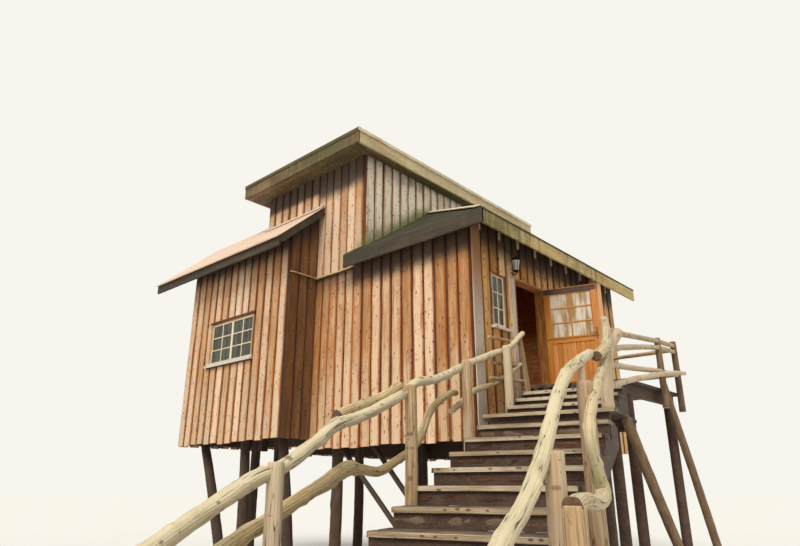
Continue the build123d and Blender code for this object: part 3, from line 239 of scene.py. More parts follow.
@dataclass(frozen=True)
class Timber:
    """A wood finish, from its colours to its weathering."""

    name: str
    dark: Colour
    mid: Colour
    light: Colour
    grey: Colour = srgb(190, 178, 160)
    greying: float = 0.3
    knot: Colour = srgb(74, 40, 22)
    knotty: float = 0.6
    moss: Colour = srgb(98, 108, 44)
    mossy: float = 0.0
    # Near black for stains, cracks and joints, and for the painted shade below the eaves and near the floor
    stained: Colour = srgb(44, 28, 20)
    roughness: float = 0.72
    depth: float = 0.004
    coat: float = 0.0
    grain: Grain = Grain.PIECE
    bands: float = 24.0
    sawn: bool = False
    rim: Colour = srgb(160, 92, 48)
    rimmed: float = 0.0
    half_width: float = 0.107
    variety: float = 0.26
    lining: float = 0.0
    weeping: float = 0.0
    checked: float = 0.0
    # Level below which the wood turns dark, as painted shade near and under the floor
    dark_below: float = 0.0

    def place(self, graph: Graph) -> Value:
        """Gives the point in the wood, with the grain along its third number."""
        if self.grain is Grain.PIECE:
            return graph.attribute("grain")
        quarter = math.pi / 2
        turns = {Grain.X: (0.0, quarter, 0.0), Grain.Y: (quarter, 0.0, 0.0), Grain.Z: (0.0, 0.0, 0.0)}
        turned = {"Vector": graph.own_place(), "Rotation": turns[self.grain]}
        return graph.node("ShaderNodeMapping", {}, turned)

    def rings(self, graph: Graph, place: Value) -> Value:
        """The year rings: circles on a sawn end, or bent bands along a length."""
        if self.sawn:
            circles = {"Vector": place, "Scale": 26.0, "Distortion": 1.6, "Detail": 2.0}
            settings = {"wave_type": "RINGS", "rings_direction": "Z"}
            return graph.node("ShaderNodeTexWave", settings, circles, "Fac")
        bands = {"Vector": graph.stretched(place, (1.0, 1.0, 0.1)), "Scale": self.bands, "Distortion": 7.0,
                 "Detail": 3.0, "Detail Scale": 1.2}
        settings = {"wave_type": "BANDS", "bands_direction": "X"}
        return graph.node("ShaderNodeTexWave", settings, bands, "Fac")

    def knots(self, graph: Graph, place: Value, fibre: Value, tone: Value | float) -> Value:
        """Scatters knots of uneven size, at other places on each board.

        Args:
            graph: The material's graph.
            place: The point in the wood.
            fibre: The fine grain that frays a knot's rim.
            tone: The board's own chance.

        Returns:
            Where a knot lies.
        """
        across, inward, along = graph.parts(place)
        spot = {0: across * 13.0 + inward * 3.0 + tone * 7.0, 1: along * 6.5}
        cells = graph.node("ShaderNodeTexVoronoi", {"feature": "F1", "voronoi_dimensions": "2D"},
                           {"Vector": graph.node("ShaderNodeCombineXYZ", {}, spot), "Scale": 1.0})
        size = 0.27 - graph.parts(cells.output("Color"))[0] * 0.36
        ring = cells + (fibre - 0.5) * 0.2
        return (1.0 - ring.step(size - 0.14, size)) * self.knotty

    def weathered(self, graph: Graph, colour: Value, wear: Sequence[Value], patch: Value,
                  fibre: Value) -> Value:
        """Gives each board its own tone, darkens it with stain and painted shade below the eaves, and greens
        it as its wear says.

        Args:
            graph: The material's graph.
            colour: The colour of the wood.
            wear: The board's tone, its stain and painted shade below the eaves, and its moss.
            patch: Broad patches that break up an edge.
            fibre: The fine grain that frays it.

        Returns:
            The weathered colour.
        """
        tone, stain_and_shade, green = wear
        board = {"Color": colour, "Value": 1.0 - self.variety / 2 + tone * self.variety,
                 "Saturation": 1.06 - tone * 0.14}
        colour = graph.node("ShaderNodeHueSaturation", {}, board)
        # Stain and painted shade: below the eaves the board darkens towards a near-black colour
        reach = (stain_and_shade + (patch - 0.5) * 0.6 + (fibre - 0.5) * 0.35).step(0.25, 0.95)
        colour = graph.mix(reach * 0.92, colour, self.stained)
        growth = (green + (patch - 0.5) * 0.9 + (fibre - 0.5) * 0.5).step(0.3, 0.9)
        return graph.mix(growth * 0.8, colour, self.moss)

    def build(self) -> bpy.types.Material:
        """Builds the material."""
        graph = Graph(self.name)
        place = self.place(graph)
        by_board = self.grain is Grain.PIECE
        wear = graph.parts(graph.attribute("wear")) if by_board else (0.5, 0.0, 0.0)
        broad = graph.drawn(place, (5.0, 5.0, 0.9), 3.0)
        patch = graph.drawn(place, (2.2, 2.2, 1.6), 5.0, 0.65)
        fibre = graph.drawn(place, (95.0, 95.0, 3.2), 5.0, 0.65)
        streak = graph.drawn(place, (38.0, 38.0, 0.7), 3.0)
        rings = self.rings(graph, place)
        knot = self.knots(graph, place, fibre, wear[0])
        figure = (rings * 0.2 + fibre * 0.35 + broad * 0.5 + streak * 0.5 - 0.775) * 1.35 + 0.5
        colour = graph.ramp(figure, [(0.15, self.dark), (0.5, self.mid), (0.8, self.light)])
        bleached = patch + fibre * 0.3 + wear[0] * 0.5
        if by_board:
            bleached = bleached + (0.0 - wear[1]).clamped() * 0.5
        dull = graph.mix(fibre, graph.mix(0.6, self.mid, self.grey), self.grey)
        colour = graph.mix(bleached.step(1.15 - self.greying, 1.5 - self.greying) * 0.85, colour, dull)
        if self.checked:
            line = (graph.drawn(place, (17.0, 17.0, 0.8), 2.0) - 0.5).absolute()
            crack = (1.0 - line.step(0.003, 0.014)) * patch.step(0.42, 0.58) * self.checked
            colour = graph.mix(crack, colour, self.stained)
        across = graph.parts(place)[0]
        if self.rimmed:
            near = across.absolute() * (1.0 / self.half_width)
            edge = (near + (streak - 0.5) * 2.0 + (patch - 0.5)).step(0.62, 1.0)
            colour = graph.mix(edge * self.rimmed, colour, self.rim)
        colour = graph.mix(knot, colour, self.knot)
        if self.lining:
            row = across.join("PINGPONG", across * (1.0 / self.lining), 0.5)
            colour = graph.mix((1.0 - row.step(0.0, 0.07)) * 0.8, colour, self.stained)
        if by_board:
            colour = self.weathered(graph, colour, wear, patch, fibre)
        # Painted shade: the boards turn dark below the level dark_below, near and under the floor
        if self.dark_below:
            level = graph.parts(graph.own_place())[2]
            painted_shade_below = 1.0 - level.step(self.dark_below - 0.15, self.dark_below)
            colour = graph.mix(painted_shade_below * 0.85, colour, self.stained)
        if self.weeping:
            drips = graph.drawn(graph.own_place(), (10.0, 10.0, 1.1), 5.0, 0.65)
            spread = graph.drawn(graph.own_place(), (0.8, 0.8, 0.8), 2.0)
            wet = (drips + (spread - 0.5) * 1.1).step(0.42, 0.66)
            colour = graph.mix(wet * self.weeping, colour, self.moss)
        if self.mossy:
            film = (patch + (broad - 0.5) * 0.6).step(0.72 - 0.4 * self.mossy, 1.0 - 0.35 * self.mossy)
            colour = graph.mix(film * 0.75, colour, self.moss)
        graph.surface(Base_Color=colour, Roughness=(self.roughness + (fibre - 0.5) * 0.2).clamped(),
                      Coat_Weight=self.coat, Coat_Roughness=0.25)
        graph.bump(fibre * 0.5 + rings * 0.25 + broad * 0.5 - knot * 0.3, self.depth)
        return graph.material


@dataclass(frozen=True)
class Bark:
    """A rough dark log with its bark or its weathered skin on."""

    name: str
    dark: Colour
    light: Colour
    moss: Colour
    mossy: float = 0.3
    depth: float = 0.012

    def build(self) -> bpy.types.Material:
        """Builds the material."""
        graph = Graph(self.name)
        place = graph.attribute("grain")
        tone = graph.parts(graph.attribute("wear"))[0]
        ridges = graph.drawn(place, (34.0, 34.0, 5.0), 6.0, 0.6)
        patch = graph.drawn(place, (5.0, 5.0, 2.5))
        colour = graph.mix((ridges * 1.6 + patch * 0.5 - 0.6).clamped(), self.dark, self.light)
        film = (patch + ridges * 0.3).step(0.85 - 0.4 * self.mossy, 1.05 - 0.3 * self.mossy)
        colour = graph.mix(film * 0.7, colour, self.moss)
        colour = graph.node("ShaderNodeHueSaturation", {}, {"Color": colour, "Value": 0.75 + tone * 0.5})
        graph.surface(Base_Color=colour, Roughness=(0.8 + ridges * 0.15).clamped())
        graph.bump(ridges, self.depth)
        return graph.material


@dataclass(frozen=True)
class Felt:
    """Roofing felt with mineral grit and growing moss."""

    name: str
    dark: Colour
    light: Colour
    moss: Colour
    mossy: float

    def build(self) -> bpy.types.Material:
        """Builds the material."""
        graph = Graph(self.name)
        place = graph.own_place()
        grit = graph.noise(place, 160.0, 2.0, 0.7)
        patch = graph.noise(place, 2.4, 7.0, 0.7)
        fluff = graph.noise(place, 22.0, 5.0, 0.7)
        colour = graph.mix(grit, self.dark, self.light)
        growth = (patch * 0.7 + fluff * 0.45).step(0.62 - 0.3 * self.mossy, 0.82 - 0.25 * self.mossy)
        colour = graph.mix(growth, colour, graph.mix(fluff, srgb(42, 46, 20), self.moss))
        graph.surface(Base_Color=colour, Roughness=(0.85 + grit * 0.1).clamped())
        graph.bump(grit * 0.15 + growth * fluff * 1.5, 0.012)
        return graph.material


@dataclass(frozen=True)
class Painted:
    """A plain sheet or iron finish with dirt and wear."""

    name: str
    colour: Colour
    dirt: Colour
    metallic: float = 0.0
    roughness: float = 0.5
    dirty: float = 0.4
    scale: float = 6.0

    def build(self) -> bpy.types.Material:
        """Builds the material."""
        graph = Graph(self.name)
        place = graph.own_place()
        patch = graph.noise(place, self.scale, 7.0, 0.65)
        speck = graph.noise(place, self.scale * 12, 3.0, 0.6)
        soiled = (patch * 0.75 + speck * 0.25).step(0.62 - 0.3 * self.dirty, 0.95 - 0.3 * self.dirty)
        graph.surface(Base_Color=graph.mix(soiled, self.colour, self.dirt),
                      Roughness=(self.roughness + soiled * 0.3).clamped(), Metallic=self.metallic)
        graph.bump(speck * 0.5 + patch, 0.0015)
        return graph.material


@dataclass(frozen=True)
class Pane:
    """Window glass with a film of dust, which on the window panes also serves as a painted reflection."""

    name: str
    tint: Colour
    clear: float = 0.95
    film: Colour = srgb(238, 240, 232)

    def build(self) -> bpy.types.Material:
        """Builds the material."""
        graph = Graph(self.name)
        # Patches of film: dust, and on the window panes also a painted reflection
        dust_and_reflection = graph.drawn(graph.own_place(), (11.0, 11.0, 1.6))
        graph.surface(Base_Color=graph.mix(dust_and_reflection.step(0.38, 0.62), self.tint, self.film),
                      Roughness=(0.02 + dust_and_reflection * 0.06).clamped(), Transmission_Weight=self.clear, IOR=1.5)
        return graph.material


class Finish(Enum):
    """The finishes of the tree house."""

    SIDING_WARM = Timber(
        "siding_warm", srgb(104, 60, 30), srgb(184, 130, 80), srgb(212, 168, 120), grey=srgb(220, 192, 156),
        greying=0.38, knot=srgb(70, 36, 20), knotty=0.8, rim=srgb(164, 88, 30), rimmed=0.95, variety=0.36,
        checked=0.7)
    SIDING_PALE = Timber(
        "siding_pale", srgb(130, 84, 50), srgb(194, 150, 108), srgb(218, 184, 146), grey=srgb(212, 188, 158),
        greying=0.5, knot=srgb(80, 44, 26), knotty=0.75, rim=srgb(178, 104, 44), rimmed=0.9, variety=0.3,
        checked=0.6)
    # Silver-grey weathered boards of the upper side walls, with colours raised as painted light, since those
    # walls face away from the sun
    SIDING_SILVER = Timber(
        "siding_silver", srgb(170, 132, 94), srgb(222, 200, 170), srgb(240, 228, 206),
        grey=srgb(232, 226, 210), greying=0.75, knotty=0.6, rim=srgb(184, 124, 68), rimmed=0.8, checked=0.6)
    # Under-boards, near black as painted shade in the narrow gaps between the outer boards; also the painted
    # shade lines above and below the bay window
    SIDING_GAP_SHADE = Timber(
        "siding_gap_shade", srgb(30, 17, 10), srgb(72, 40, 18), srgb(124, 72, 34), grey=srgb(128, 84, 48),
        greying=0.0, knotty=0.5)
    # Painted shade: a darker copy of the board wood for the return wall, which lies in shade below the bay's
    # eaves
    SIDING_RETURN_SHADE = Timber(
        "siding_return_shade", srgb(58, 34, 14), srgb(114, 72, 32), srgb(152, 104, 52), grey=srgb(150, 112, 68),
        greying=0.15, knot=srgb(46, 26, 14), knotty=0.8, rim=srgb(78, 44, 18), rimmed=0.9, variety=0.4,
        checked=0.6)
    # Painted light: the boards of the entrance side, which lies in shade, with colours raised to make up for
    # the light it lacks
    SIDING_SHADE_LIFTED = Timber(
        "siding_shade_lifted", srgb(112, 70, 28), srgb(206, 146, 74), srgb(238, 192, 116), grey=srgb(236, 204, 150),
        greying=0.28, knot=srgb(56, 30, 16), knotty=0.9, rim=srgb(128, 74, 28), rimmed=0.9, variety=0.36,
        checked=0.6)
    CORNER = Timber(
        "corner_board", srgb(150, 118, 92), srgb(192, 168, 144), srgb(212, 196, 178),
        grey=srgb(206, 198, 188), greying=0.75, knotty=0.5, stained=srgb(146, 96, 54), checked=0.5)
    FASCIA_BROWN = Timber(
        "fascia_brown", srgb(40, 30, 18), srgb(88, 68, 38), srgb(136, 106, 64), grey=srgb(138, 116, 78),
        greying=0.25, knotty=0.4, moss=srgb(64, 66, 28), mossy=0.4, weeping=0.6)
    FASCIA_DARK = Timber(
        "fascia_dark", srgb(20, 15, 10), srgb(50, 37, 23), srgb(90, 67, 42), grey=srgb(92, 74, 50),
        greying=0.15, knotty=0.3, moss=srgb(46, 44, 22), mossy=0.3, weeping=0.6)
    FASCIA_LIGHT = Timber(
        "fascia_light", srgb(150, 122, 82), srgb(208, 188, 146), srgb(230, 216, 180),
        grey=srgb(220, 214, 194), greying=0.4, knot=srgb(120, 66, 30), moss=srgb(104, 96, 52), mossy=0.1,
        knotty=0.5, weeping=0.2)
    FASCIA_MOSSY = Timber(
        "fascia_mossy", srgb(140, 108, 60), srgb(200, 174, 118), srgb(224, 206, 160),
        grey=srgb(212, 204, 174), greying=0.4, knot=srgb(120, 66, 30), moss=srgb(76, 80, 30), mossy=0.35,
        knotty=0.5, weeping=0.75)
    RAFTER = Timber(
        "rafter_wood", srgb(190, 166, 132), srgb(226, 208, 178), srgb(240, 228, 204), greying=0.3, knotty=0.2)
    INSIDE = Timber(
        "inside_boards", srgb(84, 52, 30), srgb(142, 94, 56), srgb(178, 126, 80), greying=0.0, knotty=0.3,
        grain=Grain.X, lining=0.12, dark_below=3.2)
    FRAMEWORK = Timber(
        "framework_wood", srgb(44, 30, 22), srgb(74, 52, 38), srgb(104, 78, 58), greying=0.1, knotty=0.2,
        grain=Grain.X)
    DARK_PLANK = Timber(
        "dark_plank", srgb(30, 22, 16), srgb(64, 48, 36), srgb(104, 84, 66), grey=srgb(142, 126, 106),
        greying=0.3, knotty=0.4, depth=0.007)
    SLAB = Timber(
        "slab_wood", srgb(24, 15, 10), srgb(72, 42, 26), srgb(156, 102, 62), grey=srgb(150, 124, 96),
        greying=0.25, knotty=0.7, depth=0.02, bands=40.0)
    TREAD_EDGE = Timber(
        "tread_edge", srgb(84, 62, 44), srgb(170, 146, 114), srgb(222, 206, 178), grey=srgb(212, 198, 174),
        greying=0.45, knotty=0.8)
    PEELED = Timber(
        "peeled_branch", srgb(112, 84, 50), srgb(190, 164, 118), srgb(224, 206, 166),
        grey=srgb(208, 196, 164), greying=0.5, knot=srgb(84, 56, 34), knotty=0.7, moss=srgb(146, 144, 78),
        mossy=0.45, roughness=0.66, bands=14.0, depth=0.008, checked=0.9)
    GREY_POST = Timber(
        "grey_post", srgb(118, 82, 50), srgb(178, 146, 108), srgb(206, 182, 146), grey=srgb(198, 182, 152),
        greying=0.5, knot=srgb(98, 58, 34), knotty=0.6, moss=srgb(140, 136, 88), mossy=0.15, bands=14.0,
        depth=0.008, rim=srgb(184, 128, 76), rimmed=0.55, half_width=0.12, checked=0.9)
    SAWN = Timber(
        "sawn_end", srgb(150, 116, 78), srgb(192, 162, 118), srgb(216, 192, 150), greying=0.4, knotty=0.0,
        sawn=True)
    SAWN_DARK = Timber(
        "sawn_dark", srgb(62, 42, 30), srgb(98, 70, 50), srgb(134, 102, 76), greying=0.1, knotty=0.0,
        sawn=True)
    DARK_LOG = Bark("dark_log", srgb(34, 24, 18), srgb(96, 74, 56), srgb(76, 82, 44), 0.25)
    BROWN_LOG = Bark("brown_log", srgb(74, 54, 38), srgb(150, 122, 92), srgb(110, 112, 66), 0.3)
    PINE = Timber(
        "varnished_pine", srgb(140, 76, 10), srgb(194, 116, 16), srgb(218, 148, 38), greying=0.0,
        knot=srgb(118, 60, 24), knotty=0.3, roughness=0.45, depth=0.001, coat=0.2, bands=18.0)
    DOOR_TOP = Timber(
        "door_top_rail", srgb(34, 24, 18), srgb(62, 44, 32), srgb(92, 68, 50), greying=0.0, knotty=0.1,
        depth=0.001)
    PINE_POST = Timber(
        "pine_post", srgb(196, 124, 66), srgb(222, 156, 96), srgb(236, 184, 128), greying=0.1, knotty=0.3,
        bands=18.0)
    CREAM = Timber(
        "cream_joinery", srgb(196, 172, 132), srgb(226, 208, 172), srgb(240, 228, 200), greying=0.2,
        knotty=0.0, depth=0.001)
    BROWN_JOINERY = Timber(
        "brown_joinery", srgb(112, 68, 30), srgb(160, 106, 54), srgb(196, 146, 90), greying=0.2, knotty=0.2,
        depth=0.002)
    MOSSY_FELT = Felt("mossy_felt", srgb(44, 44, 38), srgb(84, 82, 70), srgb(92, 94, 42), 0.5)
    MAIN_FELT = Felt("roof_felt", srgb(58, 52, 46), srgb(96, 88, 78), srgb(98, 100, 54), 0.25)
    SHEET = Painted("corrugated_sheet", srgb(214, 186, 164), srgb(150, 124, 98), 0.0, 0.55, 0.45, 3.0)
    IRON = Painted("black_iron", srgb(30, 29, 28), srgb(82, 60, 44), 0.85, 0.42, 0.3, 14.0)
    BRASS = Painted("handle_metal", srgb(120, 104, 82), srgb(60, 48, 36), 0.9, 0.3, 0.3, 20.0)
    # Dark green tint and green-grey film patches: partly dust, partly a painted reflection of foliage
    GLASS = Pane("window_pane", srgb(70, 84, 58), 0.9, film=srgb(150, 162, 138))
    DOOR_GLASS = Pane("door_pane", srgb(182, 146, 88), 0.35, film=srgb(244, 236, 216))
    FROSTED = Pane("lantern_pane", srgb(226, 226, 214), 0.6)


class Workshop:
    """Holds each finish once it has been made."""

    def __init__(self) -> None:
        """Starts with no finish made."""
        self.made: dict[Finish, bpy.types.Material] = {}

    def finish(self, kind: Finish) -> bpy.types.Material:
        """Gives the material of a finish."""
        if kind not in self.made:
            self.made[kind] = kind.value.build()
        return self.made[kind]


shop = Workshop()
Wear = Callable[[Vector], tuple[float, float]]


def unworn(_: Vector) -> tuple[float, float]:
    """No stain, no painted shade and no moss anywhere."""
    return (0.0, 0.0)


def axes(start: Vector, along: Vector, facing: Vector) -> Matrix:
    """Gives a place whose third axis runs along a length and whose second faces a side.

    Args:
        start: The origin.
        along: Direction of the length.
        facing: Rough direction of the second axis.

    Returns:
        The place as a matrix.
    """
    third = along.normalized()
    first = facing.cross(third).normalized()
    second = third.cross(first)
    place = Matrix((first, second, third)).transposed().to_4x4()
    place.translation = start
    return place


@dataclass
class Station:
    """One round section of a log."""

    centre: Vector
    radius: float
    run: float


def smooth_route(points: Sequence[Vector], radii: Sequence[float], spacing: float) -> list[Station]:
    """Lays evenly spaced stations on a smooth line through points.

    Args:
        points: The points that the line passes.
        radii: The radius at each point.
        spacing: Rough distance between stations.

    Returns:
        The stations, with their distance from the start.
    """
    stations = [Station(points[0], radii[0], 0.0)]
    for index in range(len(points) - 1):
        before = points[max(index - 1, 0)]
        first, second = points[index], points[index + 1]
        after = points[min(index + 2, len(points) - 1)]
        steps = max(1, round((second - first).length / spacing))
        for step in range(1, steps + 1):
            t = step / steps
            slope_in, slope_out = (second - before) * 0.5, (after - first) * 0.5
            centre = ((2 * t ** 3 - 3 * t ** 2 + 1) * first + (t ** 3 - 2 * t ** 2 + t) * slope_in
                      + (3 * t ** 2 - 2 * t ** 3) * second + (t ** 3 - t ** 2) * slope_out)
            radius = radii[index] + (radii[index + 1] - radii[index]) * t
            stations.append(Station(centre, radius, stations[-1].run + (centre - stations[-1].centre).length))
    return stations


class Pile:
    """Lengths that are made one by one and joined into one piece."""

    def __init__(self, name: str, seed: int) -> None:
        """Starts an empty pile."""
        self.name = name
        self.rng = random.Random(seed)
        self.joined = bmesh.new()
        self.scratch = bpy.data.meshes.new(name + "_scratch")

    def take(self, piece: bmesh.types.BMesh, place: Matrix, wear: Wear = unworn) -> None:
        """Marks a plain length with its grain, puts it in place and joins it.

        Args:
            piece: The length, with its grain along Z.
            place: Where it goes.
            wear: Stain and painted shade, and moss, at a point of the finished piece.
        """
        grain = piece.verts.layers.float_vector.new("grain")
        worn = piece.verts.layers.float_vector.new("wear")
        shift, tone = Vector((0.0, 0.0, self.rng.uniform(0, 60))), self.rng.random()
        for vertex in piece.verts:
            vertex[grain] = vertex.co + shift
        bmesh.ops.transform(piece, matrix=place, verts=piece.verts)
        for vertex in piece.verts:
            vertex[worn] = Vector((tone, *wear(vertex.co)))
        self.join(piece)

    def join(self, piece: bmesh.types.BMesh) -> None:
        """Joins a finished length to the pile."""
        piece.to_mesh(self.scratch)
        self.joined.from_mesh(self.scratch)
        piece.free()

    def plank(self, start: Sequence[float], end: Sequence[float], facing: Sequence[float], width: float,
              thickness: float, wane: float = 0.0, edge: float = 0.004, slants: Sequence[float] = (0, 0),
              wear: Wear = unworn, step: float = 0.35, slot: int = 0, cup: float = 0.0) -> None:
        """Adds a sawn plank.

        Args:
            start: Middle of its back at one end.
            end: Middle of its back at the other end.
            facing: Direction from its back to its face.
            width: Width across the grain.
            thickness: Thickness from back to face.
            wane: How far its edges wander.
            edge: Width of the worn arris.
            slants: How much each end leans for each metre of width.
            wear: Stain and painted shade, and moss, at a point.
            step: Rough spacing of the cross-cuts that let an edge wander.
            slot: The material slot of its faces.
            cup: How far its faces wander.
        """
        start, end = Vector(start), Vector(end)
        length = (end - start).length
        piece = bmesh.new()
        bmesh.ops.create_cube(piece, size=1.0)
        bmesh.ops.scale(piece, vec=(width, thickness, length), verts=piece.verts)
        bmesh.ops.translate(piece, vec=(0, thickness / 2, length / 2), verts=piece.verts)
        long_edges = [e for e in piece.edges if abs(e.verts[0].co.z - e.verts[1].co.z) > length / 2]
        cuts = max(1, round(length / step)) if wane or cup else 0
        if cuts:
            bmesh.ops.subdivide_edges(piece, edges=long_edges, cuts=cuts, use_grid_fill=True)
        if edge:
            on_face = [(e, e.verts[0].co.z, e.verts[1].co.z) for e in piece.edges
                       if all(v.co.y > thickness * 0.9 for v in e.verts)]
            arrises = [e for e, first, last in on_face if abs(first - last) > 1e-5]
            arrises += [e for e, first, last in on_face
                        if abs(first - last) < 1e-5 and (first < 1e-4 or first > length - 1e-4)]
            bmesh.ops.bevel(piece, geom=arrises, offset=edge, offset_type="OFFSET", segments=1, profile=0.5,
                            affect="EDGES", material=-1, clamp_overlap=True)
        seed = self.rng.uniform(0, 90)
        for vertex in piece.verts:
            x, y, z = vertex.co
            side = 1 if x > 0 else -1
            wander = noise.noise((z * 1.4, seed, side * 5.0))
            wander += 0.45 * noise.noise((z * 6.0, seed, side * 9.0))
            vertex.co.x += wane * wander * min(1.0, abs(x) * 2 / width)
            if y > thickness / 2:
                vertex.co.y += cup * noise.noise((z * 2.0, seed + 7.0, side * 2.0))
            share = z / length
            vertex.co.z += x * (slants[0] * (1 - share) + slants[1] * share)
        for face in piece.faces:
            face.material_index = slot
        self.take(piece, axes(start, end - start, Vector(facing)), wear)

    def slab(self, start: Sequence[float], end: Sequence[float], facing: Sequence[float], width: float,
             thickness: float, bulge: float, rough: float, slot: int = 0) -> None:
        """Adds a rough slab cut from the outside of a log, with a crowned and lumpy face.

        Args:
            start: Middle of its back at one end.
            end: Middle of its back at the other end.
            facing: Direction from its back to its crowned face.
            width: Width across the grain.
            thickness: Thickness at its edges.
            bulge: How far its face is crowned.
            rough: Depth of its lumps.
            slot: The material slot of its faces.
        """
        start, end = Vector(start), Vector(end)
        length = (end - start).length
        piece = bmesh.new()
        bmesh.ops.create_grid(piece, x_segments=5, y_segments=max(4, round(length / 0.07)), size=0.5)
        bmesh.ops.scale(piece, vec=(width, length, 1), verts=piece.verts)
        bmesh.ops.translate(piece, vec=(0, length / 2, 0), verts=piece.verts)
        bmesh.ops.rotate(piece, matrix=Matrix.Rotation(math.pi / 2, 3, "X"), verts=piece.verts)
        face_verts = list(piece.verts)
        skirt = bmesh.ops.extrude_edge_only(piece, edges=[e for e in piece.edges if e.is_boundary])["geom"]
        back = [g for g in skirt if isinstance(g, bmesh.types.BMVert)]
        seed = self.rng.uniform(0, 90)
        for vertex in face_verts:
            x, _, z = vertex.co
            lump = noise.noise((x * 14, z * 5, seed)) + 0.5 * noise.noise((x * 30, z * 14, seed))
            vertex.co.y = thickness + bulge * (1 - (2 * x / width) ** 2) + rough * lump
        for vertex in back:
            vertex.co.y = 0.0
        bmesh.ops.contextual_create(piece, geom=[e for e in piece.edges if e.is_boundary])
        bmesh.ops.recalc_face_normals(piece, faces=piece.faces)
        for face in piece.faces:
            face.material_index = slot
            face.smooth = True
        self.take(piece, axes(start, end - start, Vector(facing)))

    def log(self, points: Sequence[Sequence[float]], radii: Sequence[float], across: Sequence[float],
            sides: int = 12, spacing: float = 0.07, rough: float = 0.06, knots: float = 0.0,
            slots: tuple[int, int] = (0, 1), flat: bool = False) -> None:
        """Adds a round log or branch with its own bends, lumps and knots.

        Args:
            points: The points that its heart passes.
            radii: Its radius at each point.
            across: A direction that it never runs along.
            sides: Sides of its section.
            spacing: Distance between its sections.
            rough: Depth of its lumps, as a share of its radius.
            knots: Cut-off side branches for each metre.
            slots: Material slots of its side and of its sawn ends.
            flat: True where both ends are cut level.
        """
        stations = smooth_route([Vector(p) for p in points], radii, spacing)
        centres = [s.centre for s in stations]
        places = []
        for index, station in enumerate(stations):
            along = centres[min(index + 1, len(centres) - 1)] - centres[max(index - 1, 0)]
            if flat and index in (0, len(stations) - 1):
                along = UP * math.copysign(1, along.z)
            place = axes(station.centre, along, Vector(across))
            places.append(place @ Matrix.Diagonal((station.radius, station.radius, 1, 1)))
        piece = bmesh.new()
        grain = piece.verts.layers.float_vector.new("grain")
        worn = piece.verts.layers.float_vector.new("wear")
        ring = bmesh.ops.create_circle(piece, segments=sides, radius=1.0, matrix=places[0])["verts"]
        rings = [ring]
        edges = list(piece.edges)
        for before, after in zip(places, places[1:]):
            grown = bmesh.ops.extrude_edge_only(piece, edges=edges)["geom"]
            edges = [g for g in grown if isinstance(g, bmesh.types.BMEdge) and g.is_boundary]
            rings.append([g for g in grown if isinstance(g, bmesh.types.BMVert)])
            bmesh.ops.transform(piece, matrix=after @ before.inverted(), verts=rings[-1])
        seed, shift, tone = self.rng.uniform(0, 90), self.rng.uniform(0, 60), self.rng.random()
        length = stations[-1].run
        stubs = [(self.rng.uniform(0.1, max(0.2, length - 0.1)), self.rng.uniform(0, math.tau),
                  self.rng.uniform(0.6, 1.2)) for _ in range(round(length * knots))]
        for verts, place, station in zip(rings, places, stations):
            inverse = place.inverted()
            for vertex in verts:
                local = inverse @ vertex.co
                angle = math.atan2(local.y, local.x)
                swell = noise.noise((local.x * 1.3, local.y * 1.3, station.run * 5.0 + seed))
                swell += 0.5 * noise.noise((local.x * 3.0, local.y * 3.0, station.run * 12.0 + seed))
                push, dark = rough * swell, 0.0
                for run, turn, size in stubs:
                    gap = math.remainder(angle - turn, math.tau) * station.radius
                    near = math.exp(-((station.run - run) ** 2 + gap ** 2) / (0.00085 * size))
                    push += 0.34 * size * near
                    dark += 0.85 * near ** 3
                vertex.co = place @ Vector((local.x * (1 + push), local.y * (1 + push), 0.0))
                vertex[grain] = Vector((local.x * station.radius, local.y * station.radius,
                                        station.run + shift))
                vertex[worn] = Vector((tone, min(1.0, dark), 0.0))
        for face in piece.faces:
            face.material_index = slots[0]
            face.smooth = True
        self.cap(piece, [e for e in piece.edges if e.is_boundary], slots[1])
        bmesh.ops.recalc_face_normals(piece, faces=piece.faces)
        self.join(piece)

    def cap(self, piece: bmesh.types.BMesh, edges: Sequence[bmesh.types.BMEdge], slot: int) -> None:
        """Closes the open ends of a length with a small worn arris and a sawn face.

        Args:
            piece: The length.
            edges: The edges round its open ends.
            slot: The material slot of the sawn faces.
        """
        made = bmesh.ops.edgeloop_fill(piece, edges=edges)["faces"]
        for face in made:
            face.material_index = slot
            face.smooth = False
        rims = bmesh.ops.inset_individual(piece, faces=made, thickness=0.006, depth=0.005)["faces"]
        for face in rims:
            face.material_index = slot

    def finished(self, finishes: Sequence[Finish], slot: str, *replaced: str, body: str = HOUSE) -> None:
        """Turns the pile into one piece of the tree house.

        Args:
            finishes: The finish of each material slot.
            slot: The record's material slot.
            replaced: CAD nodes for which it stands.
            body: The body that it rides on.
        """
        mesh = bpy.data.meshes.new(self.name)
        self.joined.to_mesh(mesh)
        self.joined.free()
        bpy.data.meshes.remove(self.scratch)
        for kind in finishes:
            mesh.materials.append(shop.finish(kind))
        piece = bpy.data.objects.new(self.name, mesh)
        bpy.context.scene.collection.objects.link(piece)
        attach(piece, body)
        if replaced:
            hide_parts(*replaced)
        log.info("%s: %d faces", self.name, len(mesh.polygons))


# House


def least(name: str) -> Vector:
    """The lower corner of a frame node's box."""
    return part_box(name)[0]


def most(name: str) -> Vector:
    """The upper corner of a frame node's box."""
    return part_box(name)[1]


@dataclass(frozen=True)
class Opening:
    """A window or doorway: where it starts and ends along its wall, and its two levels."""

    start: float
    end: float
    low: float
    high: float


